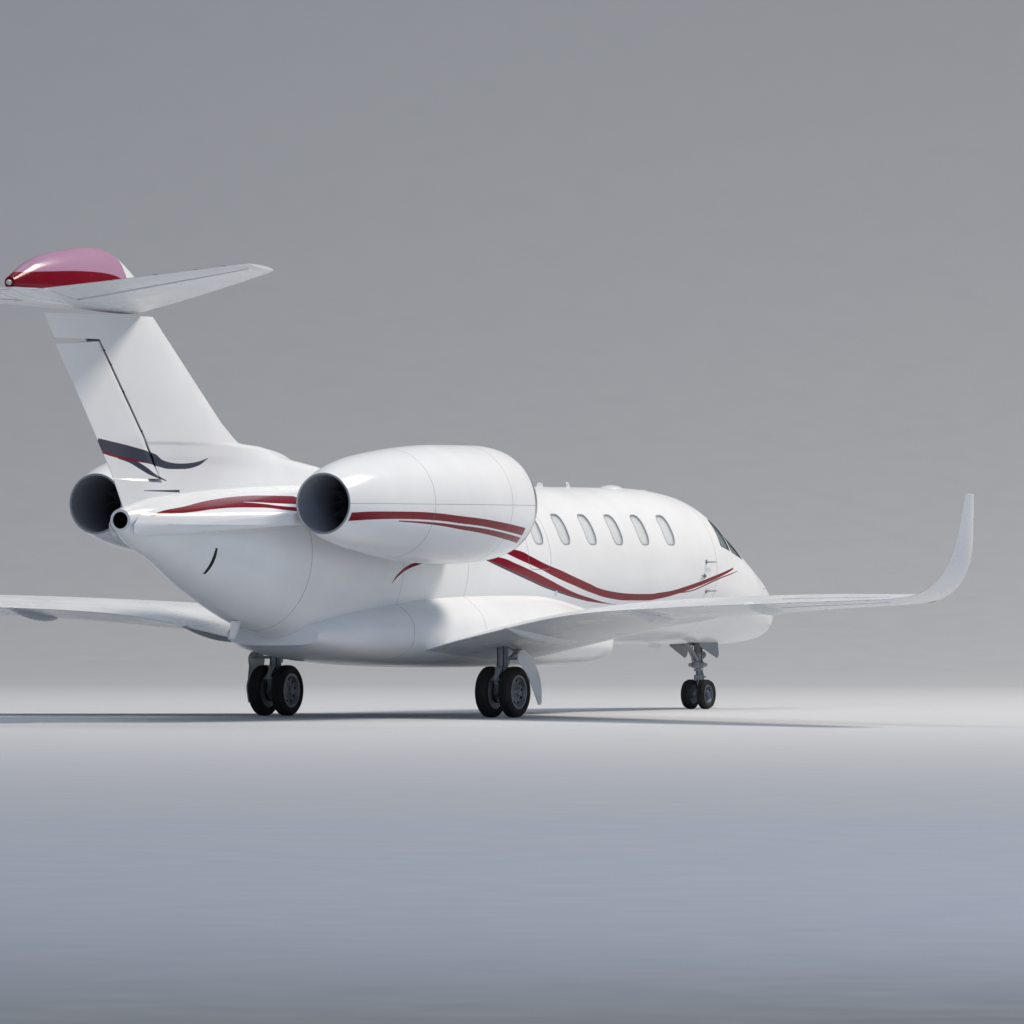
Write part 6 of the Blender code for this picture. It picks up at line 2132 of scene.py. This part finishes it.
    def lamps(self) -> None:
        """The position lamps, the beacon, the tail lamp and the wing inspection lamps."""
        for side, name, lens in ((1, "left", LENS_RED), (-1, "right", LENS_GREEN)):
            mould = Mould()
            rings = []
            for butt in spread(9.42, 9.6, 0.03):
                surface = Surface(WING)
                swell = 0.006 * sin(pi * (butt - 9.42) / 0.18) ** 0.5 if 9.42 < butt < 9.6 else 0.0005
                shares = (0.16, 0.08, 0.03, 0.008, 0)
                upper = [surface.spot(butt, share - (swell / 0.9 if share < 0.05 else 0.0),
                    surface.depth(butt, share) + swell, side) for share in shares]
                lower = [surface.spot(butt, share - (swell / 0.9 if share < 0.05 else 0.0),
                    -surface.depth(butt, share) - swell, side) for share in shares[-2::-1]]
                rings.append(upper + lower)
            publish(mould.skin(rings).object(f"position_lamp_{name}", [lens]))
        clear, red = Mould(), Mould()
        tail = FIN_CAP.rows[-1]
        clear.turn([(0, 0), (0, 0.035), (0.03, 0.033), (0.055, 0.022), (0.065, 0)], (0, along(tail[0]), tail[3]),
            (0, 1, 0), 32)
        for side in (1, -1):
            spot = Vector((side * (skin_butt(8.0, 1.6) - 0.004), along(8.0), 1.6))
            clear.turn([(0, 0), (0, 0.038), (0.008, 0.034), (0.013, 0.018), (0.015, 0)], spot, (side, 0, -0.25), 32)
        crown = FUSELAGE.at(8.1)
        red.turn([(-0.01, 0), (-0.01, 0.06), (0.03, 0.056), (0.06, 0.04), (0.075, 0.018), (0.078, 0)],
            (0, along(8.1), crown[2]), (0, 0, 1), 40)
        publish(clear.object("clear_lamps", [LENS_CLEAR]))
        publish(red.object("beacon", [LENS_RED]))

    def build(self) -> None:
        """Builds the fittings."""
        self.aerials()
        self.air_data()
        self.vents()
        self.track_fairings()
        self.wicks()
        self.lamps()


# -------------------------------------------------------------------------------------------- the stage


@dataclass
class Stage:
    """The floor, the camera at the photograph's place and the studio's lights."""

    place: tuple[float, float, float] = (-65.68794, 123.68661, 1.90328)
    yaw: float = 0.476613
    pitch: float = 0.0053519
    roll: float = 0.0015085
    lens: float = 380.01

    def camera(self) -> None:
        """The long lens, level with the cabin's floor."""
        forward = Vector((sin(self.yaw) * cos(self.pitch), -cos(self.yaw) * cos(self.pitch), sin(self.pitch)))
        right = Vector((-cos(self.yaw), -sin(self.yaw), 0))
        up = right.cross(forward)
        turned = right * cos(self.roll) + up * sin(self.roll), up * cos(self.roll) - right * sin(self.roll)
        data = bpy.data.cameras.new("long_lens")
        data.lens, data.sensor_width, data.clip_end = self.lens, 36.0, 2000.0
        made = bpy.data.objects.new("long_lens", data)
        bpy.context.scene.collection.objects.link(made)
        facing = Matrix((turned[0], turned[1], -forward)).transposed().to_4x4()
        made.matrix_world = Matrix.Translation(self.place) @ facing
        bpy.context.scene.camera = made

    def floor(self) -> None:
        """A pale floor, and a backdrop that curves up from it behind the aircraft and shows only from the front."""
        forward = Vector((sin(self.yaw), -cos(self.yaw), 0))
        across = Vector((-forward.y, forward.x, 0))
        curve = [(40 + 60 * sin(turn), 60 - 60 * cos(turn)) for turn in spread(0, pi / 2, 0.08)] + [(100, 140)]
        for name, run in (("studio_floor", [(-400.0, 0), (400.0, 0)]), ("studio_backdrop", curve)):
            self.sheet(name, forward, across, run)

    def sheet(self, name: str, forward: Vector, across: Vector, run: Sequence[Point]) -> None:
        """A sheet drawn out sideways from its profile.

        Args:
            name: Its name.
            forward: The camera's way over the floor.
            across: The way at right angles to that.
            run: Distance forward and height of the profile's corners.
        """
        mould = Mould()
        rows = [[mould.mesh.verts.new(forward * far + across * side + Vector((0, 0, height)))
            for far, height in run] for side in (-400, 400)]
        for (first, second), (third, fourth) in zip(zip(rows[0], rows[0][1:]), zip(rows[1], rows[1][1:])):
            mould.mesh.faces.new((first, third, fourth, second))
        finish = Finish(f"{name}_vinyl", "#BFC2C6", 0.75, grain=0.02, relief=0.0002, mottle=0.0)
        tree = finish.material().node_tree
        behind = add(tree, "NewGeometry").outputs["Backfacing"]
        mixed = add(tree, "MixShader", {0: behind, 1: tree.nodes["Principled BSDF"].outputs[0],
            2: add(tree, "BsdfTransparent").outputs[0]})
        tree.links.new(mixed.outputs[0], tree.nodes["Material Output"].inputs["Surface"])
        made = mould.object(name, [finish])
        if made.data.polygons[0].normal.z < 0:
            made.data.flip_normals()
        made.visible_shadow = name == "studio_floor"

    def light(self, name: str, place: Sequence[float], target: Sequence[float], size: float, power: float,
        colour: str) -> None:
        """A soft panel that faces a point.

        Args:
            name: The light's name.
            place: Where it is.
            target: What it faces.
            size: Its side.
            power: Its watts.
            colour: Its colour.
        """
        data = bpy.data.lights.new(name, "AREA")
        data.shape, data.size, data.energy, data.color = "SQUARE", size, power, linear(colour)[:3]
        made = bpy.data.objects.new(name, data)
        bpy.context.scene.collection.objects.link(made)
        made.location = place
        made.rotation_euler = (Vector(target) - Vector(place)).to_track_quat("-Z", "Y").to_euler()

    def build(self) -> None:
        """Builds the stage."""
        self.camera()
        self.floor()
        self.light("key", (-34, -30, 56), (0, 0, 2), 20, 49000, "#FFF4E6")
        self.light("fill", (-60, 60, 26), (0, 0, 2), 40, 9500, "#CFE0FF")
        self.light("top", (10, 5, 50), (0, 0, 2), 40, 9000, "#F2F6FF")
        world = bpy.data.worlds.new("studio")
        world.use_nodes = True
        world.node_tree.nodes["Background"].inputs["Color"].default_value = linear("#BCCBE0")
        world.node_tree.nodes["Background"].inputs["Strength"].default_value = 0.32
        bpy.context.scene.world = world
        bpy.context.scene.view_settings.view_transform = "Standard"


def main() -> None:
    """Builds everything in order."""
    logging.basicConfig(level=logging.INFO, format="%(message)s")
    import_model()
    Stage().build()
    fuselage = Fuselage()
    fuselage.build()
    EntryDoor().build(fuselage)
    Cabin().build()
    Cockpit().build()
    BellyFairing().build()
    Tailplane().build()
    Fin().build()
    NoseGear().build()
    for side, name in SIDES:
        Wing(side, name).build()
        Engine(side, name).build()
        MainGear(side, name).build()
    Fittings().build()


if __name__ == "__main__":
    main()
